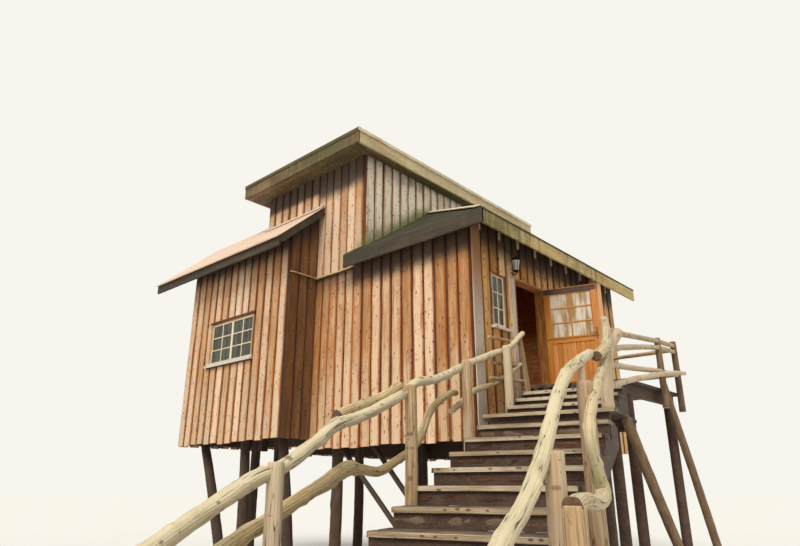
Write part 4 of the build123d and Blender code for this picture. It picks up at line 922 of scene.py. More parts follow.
@dataclass
class House:
    """The main planes and levels, read from the frame."""

    bay_window: Opening = Opening(4.80, 6.45, 4.225, 5.195)
    side_window: Opening = Opening(0.16, 0.60, 4.265, 5.255)
    entrance_slope: float = math.tan(math.radians(28.5))
    hip_slope: float = math.tan(math.radians(34.5))
    bay_slope: float = math.tan(math.radians(41.5))
    roof_thickness: float = 0.09
    return_length: float = 0.245

    def __post_init__(self) -> None:
        """Reads the planes of walls and roofs."""
        self.front_x = least("front_wall").x
        self.side_y = least("entrance_wall_left").y
        self.right_x = most("right_end_wall").x
        self.back_y = most("back_wall").y
        self.upper_y = least("upper_side_wall").y
        self.return_y = self.upper_y + self.return_length
        self.bay_x = least("bay_front_wall").x
        self.bay_y = least("bay_return_wall").y
        self.bay_end_y = most("bay_end_wall").y
        self.bay_back_x = most("bay_back_wall").x
        self.skirt = least("front_wall").z
        self.bay_skirt = least("bay_front_wall").z
        self.ledge = least("upper_front_wall").z
        self.plate = most("upper_front_wall").z
        self.floor = most("floor_deck").z
        self.pin_x, self.pin_y = most("door_frame").x - 0.034, least("door_frame").y - 0.0095
        self.doorway = Opening(least("door_frame").x, most("door_frame").x, self.floor, most("door_frame").z)
        self.entrance_edge = least("entrance_roof").copy()
        self.entrance_edge.z = most("entrance_fascias").z
        self.entrance_right = most("entrance_roof").x
        self.bay_edge = least("bay_roof") + UP * self.roof_thickness
        self.bay_far_y = most("bay_roof").y
        self.bay_ridge_x = (self.bay_x + self.bay_back_x) / 2

    def entrance_height(self, y: float) -> float:
        """Level of the entrance roof's long slope."""
        return self.entrance_edge.z + (y - self.entrance_edge.y) * self.entrance_slope

    def hip_height(self, x: float) -> float:
        """Level of the entrance roof's hipped end."""
        return self.entrance_edge.z + (x - self.entrance_edge.x) * self.hip_slope

    def bay_height(self, x: float) -> float:
        """Level of the bay roof on either side of its ridge."""
        near = min(x, 2 * self.bay_ridge_x - x)
        return self.bay_edge.z + (near - self.bay_edge.x) * self.bay_slope


@dataclass
class Panel:
    """A stretch of wall clad with upright boards, from its left to its right as seen from outside."""

    name: str
    start: tuple[float, float]
    end: tuple[float, float]
    low: tuple[float, float]
    high: tuple[float, float]
    finish: Finish
    holes: tuple[Opening, ...] = ()
    # How dark the boards turn below the eaves: stain and painted shade
    shade: float = 0.9
    moss: float = 0.0
    bleach: float = 0.7

    def __post_init__(self) -> None:
        """Works out the length and the direction of the wall, which runs along X or along Y."""
        step_x, step_y = self.end[0] - self.start[0], self.end[1] - self.start[1]
        self.length = abs(step_x) + abs(step_y)
        self.run = Vector((step_x / self.length, step_y / self.length, 0.0))

    def span(self, hole: Opening) -> tuple[float, float]:
        """Where an opening starts and ends along the panel."""
        axis = 0 if self.run.x else 1
        sides = [abs(side - self.start[axis]) for side in (hole.start, hole.end)]
        return (min(sides), max(sides))

    def foot(self, share: float) -> float:
        """Level of the panel's lower edge."""
        return self.low[0] + (self.low[1] - self.low[0]) * share

    def head(self, share: float) -> float:
        """Level of the panel's upper edge."""
        return self.high[0] + (self.high[1] - self.high[0]) * share


@dataclass
class Cladding:
    """Upright waney boards, an outer layer over the gaps of an under layer."""

    house: House
    pitch: float = 0.262
    outer_width: float = 0.214
    under_width: float = 0.16
    under_thickness: float = 0.012
    outer_thickness: float = 0.026
    hang: float = 0.07
    casing_gap: float = 0.008
    # How far down the stain and painted shade reach below the eaves
    shade_reach: float = 0.95
    bleach_reach: float = 1.9
    moss_reach: float = 0.55

    def panels(self) -> list[Panel]:
        """Lists the stretches of wall."""
        h = self.house
        deep, proud = h.roof_thickness, self.under_thickness + self.outer_thickness
        warm, pale, silver = Finish.SIDING_WARM, Finish.SIDING_PALE, Finish.SIDING_SILVER
        front, near, upper, back, far = h.front_x, h.side_y, h.upper_y, h.back_y, h.bay_end_y
        bay, bay_back, ridge, right = h.bay_x, h.bay_back_x, h.bay_ridge_x, h.right_x
        meet = h.entrance_edge.x + (upper - h.entrance_edge.y) * h.entrance_slope / h.hip_slope
        skirt, bay_skirt, soffit = (h.skirt,) * 2, (h.bay_skirt,) * 2, (h.plate,) * 2
        eaves = (h.entrance_height(near) - deep - 0.002,) * 2
        hip = (h.hip_height(front - proud) - deep - 0.004,) * 2
        bay_eaves = (h.bay_height(bay - proud) - deep - 0.004,) * 2
        top_side = h.entrance_height(upper)

        def below_bay(first: float, second: float) -> tuple[float, float]:
            """Levels below the bay's roof at two places."""
            return (h.bay_height(first) - deep, h.bay_height(second) - deep)

        return [
            Panel("bay_front_boards", (bay, far), (bay, h.bay_y), bay_skirt, bay_eaves, pale, (h.bay_window,),
                  shade=1.3),
            Panel("bay_return_boards", (bay, h.bay_y), (front - proud, h.bay_y), bay_skirt,
                  below_bay(bay, front - proud), Finish.SIDING_RETURN_SHADE, shade=1.2, bleach=0.0),
            Panel("front_boards", (front, h.bay_y), (front, h.return_y), skirt, (h.ledge - 0.045,) * 2, warm,
                  shade=0.8),
            Panel("corner_front_boards", (front, h.return_y), (front, near), skirt, hip, warm, shade=1.8,
                  bleach=1.2),
            Panel("upper_front_boards", (front, h.bay_y), (front, h.return_y), (h.ledge,) * 2, soffit, pale,
                  shade=2.0),
            Panel("upper_corner_boards", (front, h.return_y), (front, upper), (h.hip_height(front),) * 2,
                  soffit, pale, shade=1.7, moss=0.6),
            Panel("upper_far_boards", (front, back), (front, h.bay_y), (h.bay_height(front),) * 2, soffit,
                  pale, shade=1.6),
            Panel("hip_side_boards", (front, upper), (meet, upper), (h.hip_height(front), top_side), soffit,
                  silver, shade=0.7, moss=1.0),
            Panel("upper_side_boards", (meet, upper), (right, upper), (top_side,) * 2, soffit, silver,
                  shade=0.7, moss=0.3),
            Panel("entrance_boards", (front, near), (right, near), skirt, eaves, Finish.SIDING_SHADE_LIFTED,
                  (h.side_window, h.doorway), shade=1.6, bleach=0.2),
            Panel("right_low_boards", (right, near), (right, upper), skirt,
                  (h.entrance_height(near) - deep, top_side - deep), warm),
            Panel("right_boards", (right, upper), (right, back), skirt, soffit, warm),
            Panel("back_boards", (right, back), (bay_back, back), skirt, soffit, warm),
            Panel("back_gable_boards", (bay_back, back), (ridge, back),
                  (h.bay_height(bay_back), h.bay_height(ridge)), soffit, pale),
            Panel("back_corner_boards", (ridge, back), (front, back),
                  (h.bay_height(ridge), h.bay_height(front)), soffit, pale),
            Panel("bay_end_boards", (bay_back, far), (ridge, far), bay_skirt, below_bay(bay_back, ridge),
                  pale),
            Panel("bay_gable_boards", (ridge, far), (bay, far), bay_skirt, below_bay(ridge, bay), pale),
            Panel("bay_back_boards", (bay_back, back), (bay_back, far), bay_skirt, bay_eaves, warm),
        ]

    def clad(self, panel: Panel, seed: int) -> None:
        """Lays both layers of boards on one panel.

        Args:
            panel: The stretch of wall.
            seed: Seed of its chance.
        """
        pile = Pile(panel.name, seed)
        count = max(1, round(panel.length / self.pitch))
        pitch = panel.length / count
        outward = -UP.cross(panel.run)
        start = Vector((*panel.start, 0))

        def wear(point: Vector) -> tuple[float, float]:
            """Stain and painted shade below the eaves, less of it low down, and moss above a lower roof."""
            share = min(1.0, max(0.0, (point - start).dot(panel.run) / panel.length))
            above = point.z - panel.foot(share)
            # Stain and painted shade, darkest right below the eaves
            stain_and_shade = panel.shade * max(0.0, 1.0 - (panel.head(share) - point.z) / self.shade_reach)
            bleach = panel.bleach * max(0.0, 1.0 - above / self.bleach_reach)
            growth = panel.moss * max(0.0, 1.0 - above / self.moss_reach)
            return (stain_and_shade - bleach if bleach > stain_and_shade else stain_and_shade, growth)

        def upright(left: float, right: float, low: float | None, high: float | None, depth: float,
                    thickness: float, slot: int, wane: float, drop: float) -> None:
            """Adds one board; with no low or high it runs to the panel's edge, and drop below it."""
            middle = (left + right) / 2
            share = middle / panel.length
            slants = [0.0, 0.0]
            if low is None:
                low = panel.foot(share) - drop
                slants[0] = (panel.low[0] - panel.low[1]) / panel.length
            if high is None:
                high = panel.head(share)
                slants[1] = (panel.high[0] - panel.high[1]) / panel.length
            base = start + panel.run * middle + outward * depth
            pile.plank(base + UP * low, base + UP * high, outward, right - left, thickness, wane, 0.004,
                       slants, wear, 0.3, slot, 0.003)

        def laid(left: float, right: float, *board: float) -> None:
            """Adds a board, cut where it meets an opening."""
            left, right = max(left, 0.0), min(right, panel.length)
            if right - left < 0.02:
                return
            for hole in panel.holes:
                first, last = panel.span(hole)
                if left < last - 0.01 and right > first + 0.01:
                    upright(left, right, None, hole.low - self.casing_gap, *board)
                    upright(left, right, hole.high + self.casing_gap, None, *board)
                    if first - left > 0.03:
                        upright(left, first - self.casing_gap, hole.low, hole.high, *board)
                    if right - last > 0.03:
                        upright(last + self.casing_gap, right, hole.low, hole.high, *board)
                    return
            upright(left, right, None, None, *board)

        skirted = min(panel.low) in (self.house.skirt, self.house.bay_skirt)
        for index in range(count + 1):
            middle = index * pitch
            drop = self.hang * pile.rng.uniform(0.1, 0.6) if skirted else 0.0
            laid(middle - self.under_width / 2, middle + self.under_width / 2, 0.0, self.under_thickness, 1,
                 0.0, drop)
        for index in range(count):
            width = self.outer_width * pile.rng.uniform(0.9, 1.08)
            middle = (index + 0.5) * pitch + pile.rng.uniform(-0.012, 0.012)
            drop = self.hang * pile.rng.uniform(0.3, 1.0) if skirted else 0.0
            laid(middle - width / 2, middle + width / 2, self.under_thickness, self.outer_thickness, 0,
                 0.011, drop)
        # The under layer takes the near-black finish that paints the shade in the gaps
        pile.finished((panel.finish, Finish.SIDING_GAP_SHADE), "siding")

    def corner_board(self) -> None:
        """The wide board on the corner beside the stair."""
        h = self.house
        x, y = h.front_x + 0.09, h.side_y - self.under_thickness - self.outer_thickness
        top = h.entrance_height(h.side_y) - h.roof_thickness - 0.02

        def wear(point: Vector) -> tuple[float, float]:
            """The board stays brown where the eaves keep it dry."""
            return (1.3 * max(0.0, 1.0 - (top - point.z) / 2.9), 0.0)

        pile = Pile("corner_boards", 71)
        pile.plank((x, y, h.skirt - 0.05), (x, y, top), (0, -1, 0), 0.25, 0.022, 0.006, 0.004, wear=wear)
        pile.finished((Finish.CORNER,), "siding")

    def build(self) -> None:
        """Clads every wall."""
        for index, panel in enumerate(self.panels()):
            self.clad(panel, 100 + index)
        self.corner_board()


def cover(pile: Pile, corners: Sequence[Vector], shape: Callable[[float, float, Vector], Vector],
          cells: tuple[int, int], thickness: float) -> None:
    """Lays a thin sheet over a four-cornered surface.

    Args:
        pile: The pile that takes the sheet.
        corners: Lower left, lower right, upper right and upper left, seen from outside.
        shape: Gives the offset at a place across and up the sheet, from the surface's normal.
        cells: Cells across and up.
        thickness: Thickness of the sheet.
    """
    lower_left, lower_right, upper_right, upper_left = corners
    normal = (lower_right - lower_left).cross(upper_left - lower_left)
    if normal.length < 1e-9:
        normal = (lower_right - lower_left).cross(upper_right - lower_left)
    normal.normalize()
    piece = bmesh.new()
    bmesh.ops.create_grid(piece, x_segments=cells[0], y_segments=cells[1], size=0.5)
    for vertex in piece.verts:
        across, up = vertex.co.x + 0.5, vertex.co.y + 0.5
        low = lower_left.lerp(lower_right, across)
        high = upper_left.lerp(upper_right, across)
        vertex.co = low.lerp(high, up) + shape(across, up, normal)
    bmesh.ops.remove_doubles(piece, verts=piece.verts, dist=1e-5)
    bmesh.ops.recalc_face_normals(piece, faces=piece.faces)
    if sum((f.normal for f in piece.faces), Vector()).dot(normal) < 0:
        bmesh.ops.reverse_faces(piece, faces=piece.faces)
    bmesh.ops.solidify(piece, geom=piece.faces[:], thickness=-thickness)
    for face in piece.faces:
        face.smooth = True
    pile.take(piece, Matrix.Identity(4))


@dataclass
class Roofs:
    """Felt courses, corrugated sheets, edge boards, rafter tails and eaves boards."""

    house: House
    course: float = 0.42
    lap: float = 0.05
    felt: float = 0.007
    rise: float = 0.012
    corrugation: float = 0.076
    wave: float = 0.009
    ridge_width: float = 0.16
    thick: float = 0.04
    rafter_depth: float = 0.085
    rafter_width: float = 0.06
    rafter_spacing: float = 0.64
    rafter_inset: float = 0.18

    def courses(self, pile: Pile, corners: Sequence[Vector]) -> None:
        """Covers one slope with felt courses that lap like shingles.

        Args:
            pile: The pile that takes them.
            corners: Lower left, lower right, upper right and upper left, seen from outside.
        """
        lower_left, lower_right, upper_right, upper_left = corners
        height = max((upper_left - lower_left).length, (upper_right - lower_right).length)
        down = (lower_left - upper_left).normalized()
        count = max(1, round(height / self.course))
        for index in range(count):
            low, high = index / count, min(1.0, (index + 1) / count + self.lap / height)
            strip = (lower_left.lerp(upper_left, low), lower_right.lerp(upper_right, low),
                     lower_right.lerp(upper_right, high), lower_left.lerp(upper_left, high))
            seed = pile.rng.uniform(0, 90)
            over = 0.025 if index == 0 else 0.0

            def shape(across: float, up: float, normal: Vector) -> Vector:
                """Lifts the lower edge over the course below and lets it wander."""
                wander = noise.noise((across * 14, seed, 0.0)) * 0.012 * (1 - up)
                lift = self.felt + self.rise * (1 - up) + 0.003 * noise.noise((across * 22, up * 3, seed))
                return normal * lift + down * ((over + wander) * (1 - up))

            width = (strip[1] - strip[0]).length
            cover(pile, strip, shape, (max(4, round(width / 0.16)), 3), self.felt)

    def corrugated(self, pile: Pile, corners: Sequence[Vector], lift: float) -> None:
        """Lays one corrugated sheet whose waves run up the slope."""
        waves = (corners[1] - corners[0]).length / self.corrugation
        seed = pile.rng.uniform(0, 90)

        def shape(across: float, up: float, normal: Vector) -> Vector:
            """Waves, with a little sag."""
            sag = 0.004 * noise.noise((across * 6, up * 3, seed))
            return normal * (lift + self.wave * (1 + math.sin(across * waves * math.tau)) + sag)

        cover(pile, corners, shape, (max(8, round(waves * 8)), 4), 0.002)

    def main_roof(self) -> None:
        """The four hipped slopes of the upper roof, with a strip of felt over their ridge."""
        low, high = least("main_roof"), most("main_roof")
        eave, ridge = most("main_fascias").z, high.z
        half = (high.y - low.y - self.ridge_width) / 2
        turns = ((low.x, low.y, 1, 1), (high.x, low.y, -1, 1), (high.x, high.y, -1, -1),
                 (low.x, high.y, 1, -1))
        outer = [Vector((x, y, eave)) for x, y, _, _ in turns]
        inner = [Vector((x + half * to_x, y + half * to_y, ridge)) for x, y, to_x, to_y in turns]
        pile = Pile("main_roof_felt", 201)
        for index in range(4):
            after = (index + 1) % 4
            self.courses(pile, (outer[index], outer[after], inner[after], inner[index]))
        crest = Vector((0.0, (low.y + high.y) / 2, ridge + 0.004))
        pile.plank(crest + Vector((inner[0].x - 0.06, 0, 0)), crest + Vector((inner[1].x + 0.06, 0, 0)), UP,
                   0.24, 0.01, 0.003, 0.002)
        pile.finished((Finish.MAIN_FELT,), "roof_felt")

    def entrance_roof(self) -> None:
        """The hipped lean-to over the entrance, with its short return, its hip board and its flashing."""
        h = self.house
        edge, top = h.entrance_edge, h.entrance_height(h.upper_y)
        meet = Vector((edge.x + (top - edge.z) / h.hip_slope, h.upper_y, top))
        right_low = Vector((h.entrance_right, edge.y, edge.z))
        right_high = Vector((h.entrance_right, h.upper_y, top))
        far_low = Vector((edge.x, h.upper_y, edge.z))
        wall_x, wall_top = h.front_x - 0.03, h.hip_height(h.front_x)
        pile = Pile("entrance_roof_felt", 202)
        self.courses(pile, (edge, right_low, right_high, meet))
        self.courses(pile, (far_low, edge, meet, meet))
        self.courses(pile, (Vector((edge.x, h.return_y, edge.z)), far_low,
                            Vector((wall_x, h.upper_y, wall_top)), Vector((wall_x, h.return_y, wall_top))))
        pile.finished((Finish.MOSSY_FELT,), "roof_felt")
        boards = Pile("entrance_hip_board", 203)
        slope = (meet - edge).normalized()
        for side in (1, -1):
            across = slope.cross(UP).normalized() * side
            shift = UP * 0.03 + across * 0.045
            boards.plank(edge + slope * 0.02 + shift, meet - slope * 0.02 + shift, UP + across * 0.35, 0.11,
                         0.016, 0.004, 0.003, step=0.4)
        flash_y, flash_z = h.upper_y - 0.05, top + 0.012
        boards.plank((meet.x, flash_y, flash_z), (h.entrance_right, flash_y, flash_z), (0, -0.5, 1), 0.12,
                     0.016, 0.004)
        boards.finished((Finish.FASCIA_LIGHT,), "fascia_light")

    def bay_roof(self) -> None:
        """Corrugated sheets on both slopes of the bay, with a ridge cap and a flashing."""
        h = self.house
        edge, ridge_x = h.bay_edge, h.bay_ridge_x
        wall_x = h.front_x - 0.045
        over = 0.085
        pile = Pile("bay_roof_sheets", 204)
        for y_low, y_high, eave_x, end_x, lift in (
                (edge.y - 0.05, h.back_y + 0.02, edge.x, wall_x, 0.003),
                (h.back_y - 0.06, h.bay_far_y + 0.05, edge.x, ridge_x, 0.006),
                (h.back_y, h.bay_far_y + 0.05, 2 * ridge_x - edge.x, ridge_x, 0.003)):
            out_x = eave_x - math.copysign(over, end_x - eave_x)
            near_y, far_y = (y_low, y_high) if end_x < eave_x else (y_high, y_low)
            low_z, high_z = edge.z - over * h.bay_slope, h.bay_height(end_x)
            corners = (Vector((out_x, near_y, low_z)), Vector((out_x, far_y, low_z)),
                       Vector((end_x, far_y, high_z)), Vector((end_x, near_y, high_z)))
            self.corrugated(pile, corners, lift)
        pile.finished((Finish.SHEET,), "roof_sheet")
        cap = Pile("bay_roof_caps", 205)
        crest = h.bay_height(ridge_x) + 0.03
        for side in (1, -1):
            x, z = ridge_x + side * 0.075, crest - 0.075 * h.bay_slope
            cap.plank((x, h.back_y + 0.02, z), (x, h.bay_far_y + 0.02, z), (side * h.bay_slope, 0, 1), 0.2,
                      0.003, 0.0, 0.001)
        flash_x, flash_z = wall_x - 0.04, h.bay_height(wall_x) + 0.02
        cap.plank((flash_x, edge.y, flash_z), (flash_x, h.back_y, flash_z), (-0.75, 0, 0.65), 0.14, 0.003,
                  0.0, 0.001)
        cap.finished((Finish.SHEET,), "roof_sheet")

    def main_fascias(self) -> None:
        """Edge boards of the upper roof, with a strip along their upper edge."""
        low, high = least("main_fascias"), most("main_fascias")
        thick, height, middle = self.thick, high.z - low.z, (low.z + high.z) / 2
        front = Pile("main_front_fascia", 210)
        front.plank((low.x + thick, high.y, middle), (low.x + thick, low.y, middle), (-1, 0, 0), height,
                    thick, 0.004)
        front.plank((low.x, high.y, high.z - 0.05), (low.x, low.y, high.z - 0.05), (-1, 0, 0), 0.09, 0.018,
                    0.002)
        front.finished((Finish.FASCIA_BROWN,), "fascia_brown", "main_fascias")
        sides = Pile("main_side_fascias", 211)
        for y, facing in ((low.y + thick, -1), (high.y - thick, 1)):
            strip_y, strip_z = y + facing * thick, high.z - 0.045
            sides.plank((low.x + thick, y, middle), (high.x - thick, y, middle), (0, facing, 0), height,
                        thick, 0.004)
            sides.plank((low.x - 0.01, strip_y, strip_z), (high.x + 0.01, strip_y, strip_z), (0, facing, 0),
                        0.08, 0.018, 0.002)
        sides.plank((high.x - thick, low.y, middle), (high.x - thick, high.y, middle), (1, 0, 0), height,
                    thick, 0.004)
        sides.finished((Finish.FASCIA_LIGHT,), "fascia_light")

    def entrance_fascias(self) -> None:
        """Edge boards of the entrance roof, with the dark felt edge over the long one."""
        low, high = least("entrance_fascias"), most("entrance_fascias")
        thick, height, middle = self.thick, high.z - low.z, (low.z + high.z) / 2
        front = Pile("entrance_front_fascia", 212)
        front.plank((low.x + thick, high.y, middle), (low.x + thick, low.y, middle), (-1, 0, 0), height,
                    thick, 0.005, 0.005)
        front.finished((Finish.FASCIA_DARK,), "fascia_brown", "entrance_fascias")
        side = Pile("entrance_side_fascia", 213)
        side.plank((low.x + 0.002, low.y + thick, middle), (high.x, low.y + thick, middle), (0, -1, 0),
                   height, thick, 0.005, 0.005)
        strip_z = high.z - 0.012
        side.plank((low.x - 0.004, low.y, strip_z), (high.x + 0.004, low.y, strip_z), (0, -1, 0), 0.03, 0.01,
                   0.003, 0.003, slot=1)
        side.finished((Finish.FASCIA_MOSSY, Finish.FASCIA_DARK), "fascia_light")

    def bay_boards(self) -> None:
        """Edge boards of the bay's roof: level ones below the eaves and sloping ones up the gables."""
        h = self.house
        edge, ridge_x = h.bay_edge, h.bay_ridge_x
        start_y, end_y = least("bay_fascias").y, most("bay_fascias").y
        pile = Pile("bay_edge_boards", 214)
        for x, facing, from_y in ((edge.x, -1, start_y), (2 * ridge_x - edge.x, 1, h.back_y)):
            pile.plank((x, from_y, edge.z - 0.12), (x, end_y, edge.z - 0.12), (facing, 0, 0), 0.24,
                       self.thick, 0.004)
        board = 0.19
        foot_drop = board * 0.38 * math.hypot(1.0, h.bay_slope)
        for y, facing, start_x, end_x in ((edge.y, -1, edge.x, h.front_x - 0.07),
                                          (h.bay_far_y, 1, edge.x, ridge_x),
                                          (h.bay_far_y, 1, 2 * ridge_x - edge.x, ridge_x)):
            pile.plank((start_x, y, edge.z - foot_drop), (end_x, y, h.bay_height(end_x) - board / 2),
                       (0, facing, 0), board * 0.78, self.thick, 0.004)
        pile.finished((Finish.FASCIA_DARK,), "fascia_brown", "bay_fascias")

    def rafters(self) -> None:
        """Tails of the rafters below the eaves, and the cleats that carry them at the entrance wall."""
        h = self.house
        depth, width = self.rafter_depth, self.rafter_width
        drop = h.roof_thickness + depth / 2 + 0.002
        pile = Pile("rafter_tails", 215)
        for index in range(int((h.right_x - h.front_x) / self.rafter_spacing) + 1):
            x = h.front_x + self.rafter_inset + index * self.rafter_spacing
            pile.plank((x, h.entrance_edge.y + 0.005, h.entrance_edge.z - drop),
                       (x, h.side_y, h.entrance_height(h.side_y) - drop), (1, 0, 0), depth, width, 0.002,
                       0.003)
            cleat = Vector((x + width / 2, h.side_y - 0.03, h.entrance_edge.z))
            pile.plank(cleat - UP * 0.12, cleat + UP * 0.02, (0, -1, 0), 0.034, 0.045)
        for index in range(int((h.bay_end_y - h.bay_y - self.rafter_inset) / self.rafter_spacing) + 1):
            y = h.bay_y + self.rafter_inset + index * self.rafter_spacing
            pile.plank((h.bay_edge.x + 0.005, y, h.bay_edge.z - drop - 0.01),
                       (h.bay_x, y, h.bay_height(h.bay_x) - drop - 0.01), (0, 1, 0), depth, width, 0.002,
                       0.003)
        pile.finished((Finish.RAFTER,), "fascia_light", "eaves_rafters")

    def soffits(self) -> None:
        """Three boards below each of the upper eaves that show, and the ledge round the bay's corner."""
        h = self.house
        low, high = least("main_soffit"), most("main_soffit")
        pile = Pile("eaves_boards", 216)
        side_width, front_width = (h.upper_y - low.y) / 3, (h.front_x - low.x) / 3
        for index in range(3):
            y = low.y + (index + 0.5) * side_width
            pile.plank((low.x, y, low.z), (high.x, y, low.z), (0, 0, -1), side_width - 0.006, 0.012, 0.0,
                       0.003)
        for index in range(3):
            x = low.x + (index + 0.5) * front_width
            pile.plank((x, h.upper_y, low.z), (x, high.y, low.z), (0, 0, -1), front_width - 0.006, 0.012, 0.0,
                       0.003)
        pile.finished((Finish.FASCIA_BROWN,), "fascia_brown")
        ledge = Pile("drip_ledge_boards", 217)
        x, y, z = h.front_x - 0.045, h.bay_y - 0.045, most("drip_ledge").z - 0.026
        ledge.plank((x, h.bay_y, z), (x, h.return_y, z), (-0.25, 0, 1), 0.11, 0.022, 0.004)
        ledge.plank((h.bay_x, y, z), (h.front_x - 0.02, y, z), (0, -0.25, 1), 0.11, 0.022, 0.004)
        ledge.finished((Finish.FASCIA_MOSSY,), "fascia_light", "drip_ledge")

    def build(self) -> None:
        """Builds every roof."""
        self.main_roof()
        self.entrance_roof()
        self.bay_roof()
        self.main_fascias()
        self.entrance_fascias()
        self.bay_boards()
        self.rafters()
        self.soffits()


# Stair and railings


@dataclass
class StairFrame:
    """The stair's own frame: u climbs, v points to the left and w is up."""

    origin: Vector
    angle: float = math.radians(14)

    def at(self, u: float, v: float, w: float) -> Vector:
        """Turns a point of the stair frame, in metres, into the row frame."""
        along, left = self.along(), self.left()
        return self.origin + along * u + left * v + UP * w

    def along(self) -> Vector:
        """Direction of the climb."""
        return Vector((math.cos(self.angle), math.sin(self.angle), 0))

    def left(self) -> Vector:
        """Direction to the left of the climb."""
        return Vector((-math.sin(self.angle), math.cos(self.angle), 0))


@dataclass
class Flight:
    """Plank treads on slab risers, the landing and the low steps to the porch."""

    house: House
    stair: StairFrame
    rise: float = 0.205
    going: float = 0.5
    rises: int = 13
    head: float = -0.34
    left: float = -0.30
    upper_left: float = -0.47
    right: float = -2.15
    thickness: float = 0.06
    deck_thickness: float = 0.055
    overlap: float = 0.035
    setback: float = 0.07
    upper_rise: float = 0.1625
    upper_going: float = 0.42
    upper_steps: int = 3
    landing_boards: int = 10
    landing_board: float = 0.19
    porch_board: float = 0.15

    def board(self, pile: Pile, u: float, ends: tuple[float, float], foot: float, width: float,
              thickness: float, wane: float, edge: float, step: float, cup: float) -> None:
        """Lays one flat board across the stair, from its right to its left end, on the level foot."""
        pile.plank(self.stair.at(u, ends[0], foot), self.stair.at(u, ends[1], foot), UP, width, thickness,
                   wane, edge, step=step, cup=cup)

    def nosing(self, pile: Pile, u: float, ends: tuple[float, float], middle: float, height: float,
               cup: float) -> None:
        """Lays the worn pale front edge of a tread, from its right to its left end."""
        pile.plank(self.stair.at(u, ends[0], middle), self.stair.at(u, ends[1], middle), -self.stair.along(),
                   height, 0.012, 0.004, 0.004, step=0.12, slot=1, cup=cup)

    def treads(self) -> None:
        """Treads of the main flight, each of two planks."""
        pile = Pile("stair_tread_planks", 301)
        depth = self.going + self.overlap
        for index in range(1, self.rises):
            front = self.head - (self.rises - index) * self.going
            top = index * self.rise
            for share in (0.25, 0.75):
                ends = (self.right + pile.rng.uniform(-0.03, 0.02), self.left + pile.rng.uniform(-0.02, 0.03))
                self.board(pile, front + depth * share, ends, top - self.thickness, depth / 2 - 0.008,
                           self.thickness, 0.012, 0.008, 0.16, 0.006)
            self.nosing(pile, front + 0.002, (self.right + 0.02, self.left - 0.02), top - self.thickness / 2,
                        self.thickness * 0.9, 0.01)
        pile.finished((Finish.DARK_PLANK, Finish.TREAD_EDGE), "stair_wood", "stair_treads")

    def risers(self) -> None:
        """Slabs between the treads."""
        pile = Pile("stair_riser_slabs", 302)
        s = self.stair
        for index in range(1, self.rises):
            face = self.head - (self.rises - index) * self.going + self.setback
            level = (index - 0.5) * self.rise - self.thickness / 2
            pile.slab(s.at(face, self.right + 0.02, level), s.at(face, self.left - 0.02, level), -s.along(),
                      (self.rise - self.thickness) * 0.98, 0.012, 0.03, 0.018)
        pile.finished((Finish.SLAB,), "stair_wood")

    def upper(self) -> None:
        """The three low steps from the landing to the porch."""
        s = self.stair
        top = most("landing_deck").z
        pile = Pile("upper_step_planks", 303)
        for index in range(1, self.upper_steps + 1):
            front = self.head + index * self.upper_going
            level = top + index * self.upper_rise
            width = self.upper_going + self.setback - 0.04
            for share in (0.25, 0.75):
                self.board(pile, front + width * share, (self.right + 0.05, self.upper_left),
                           level - self.thickness, width / 2 - 0.006, self.thickness, 0.01, 0.008, 0.16,
                           0.004)
            self.nosing(pile, front, (self.right + 0.06, self.upper_left - 0.01), level - self.thickness / 2,
                        self.thickness * 0.9, 0.008)
        for index in range(1, self.upper_steps + 2):
            face = self.head + index * self.upper_going + self.setback
            level = top + (index - 0.5) * self.upper_rise - self.thickness / 2
            pile.slab(s.at(face, self.right + 0.07, level), s.at(face, self.upper_left - 0.02, level),
                      -s.along(), 0.1, 0.01, 0.016, 0.007, slot=2)
        pile.finished((Finish.DARK_PLANK, Finish.TREAD_EDGE, Finish.SLAB), "stair_wood", "upper_steps")

    def landing(self) -> None:
        """Boards of the landing, cut along the house where they meet it."""
        top, thick = most("landing_deck").z, self.deck_thickness
        deck = Pile("landing_boards", 304)
        for index in range(self.landing_boards):
            middle = self.head + (index + 0.5) * self.landing_board
            left = self.stair_side(middle, self.house.side_y - 0.07)
            left = min(left, -0.21) if middle < 0.1 else left
            self.board(deck, middle, (self.right - 0.02, left), top - thick, self.landing_board - 0.008,
                       thick, 0.006, 0.007, 0.2, 0.003)
        self.nosing(deck, self.head + 0.002, (self.right, -0.22), top - thick / 2, thick * 0.95, 0.008)
        deck.finished((Finish.DARK_PLANK, Finish.TREAD_EDGE), "deck_wood", "landing_deck")

    def stair_side(self, u: float, y: float) -> float:
        """The v at which the cross line at u meets a plane of constant Y."""
        return (y - self.stair.origin.y - u * math.sin(self.stair.angle)) / math.cos(self.stair.angle)

    def porch(self) -> None:
        """Boards of the porch, cut along the stair's edge."""
        low, high = least("porch_deck"), most("porch_deck")
        edge_u = self.head + (self.upper_steps + 1) * self.upper_going
        thick = self.deck_thickness
        pile = Pile("porch_boards", 305)
        count = round((high.y - low.y) / self.porch_board)
        width = (high.y - low.y) / count
        for index in range(count):
            y = low.y + (index + 0.5) * width
            start = self.stair.at(edge_u, self.stair_side(edge_u, y), high.z - thick)
            start.x += pile.rng.uniform(0, 0.015)
            end = (high.x + pile.rng.uniform(-0.01, 0.015), y, high.z - thick)
            pile.plank(start, end, UP, width - 0.008, thick, 0.003, 0.006, (math.tan(self.stair.angle), 0.0),
                       step=0.5, cup=0.002)
        pile.finished((Finish.DARK_PLANK,), "deck_wood", "porch_deck")

    def build(self) -> None:
        """Builds treads, risers, landing and porch."""
        self.treads()
        self.risers()
        self.upper()
        self.landing()
        self.porch()


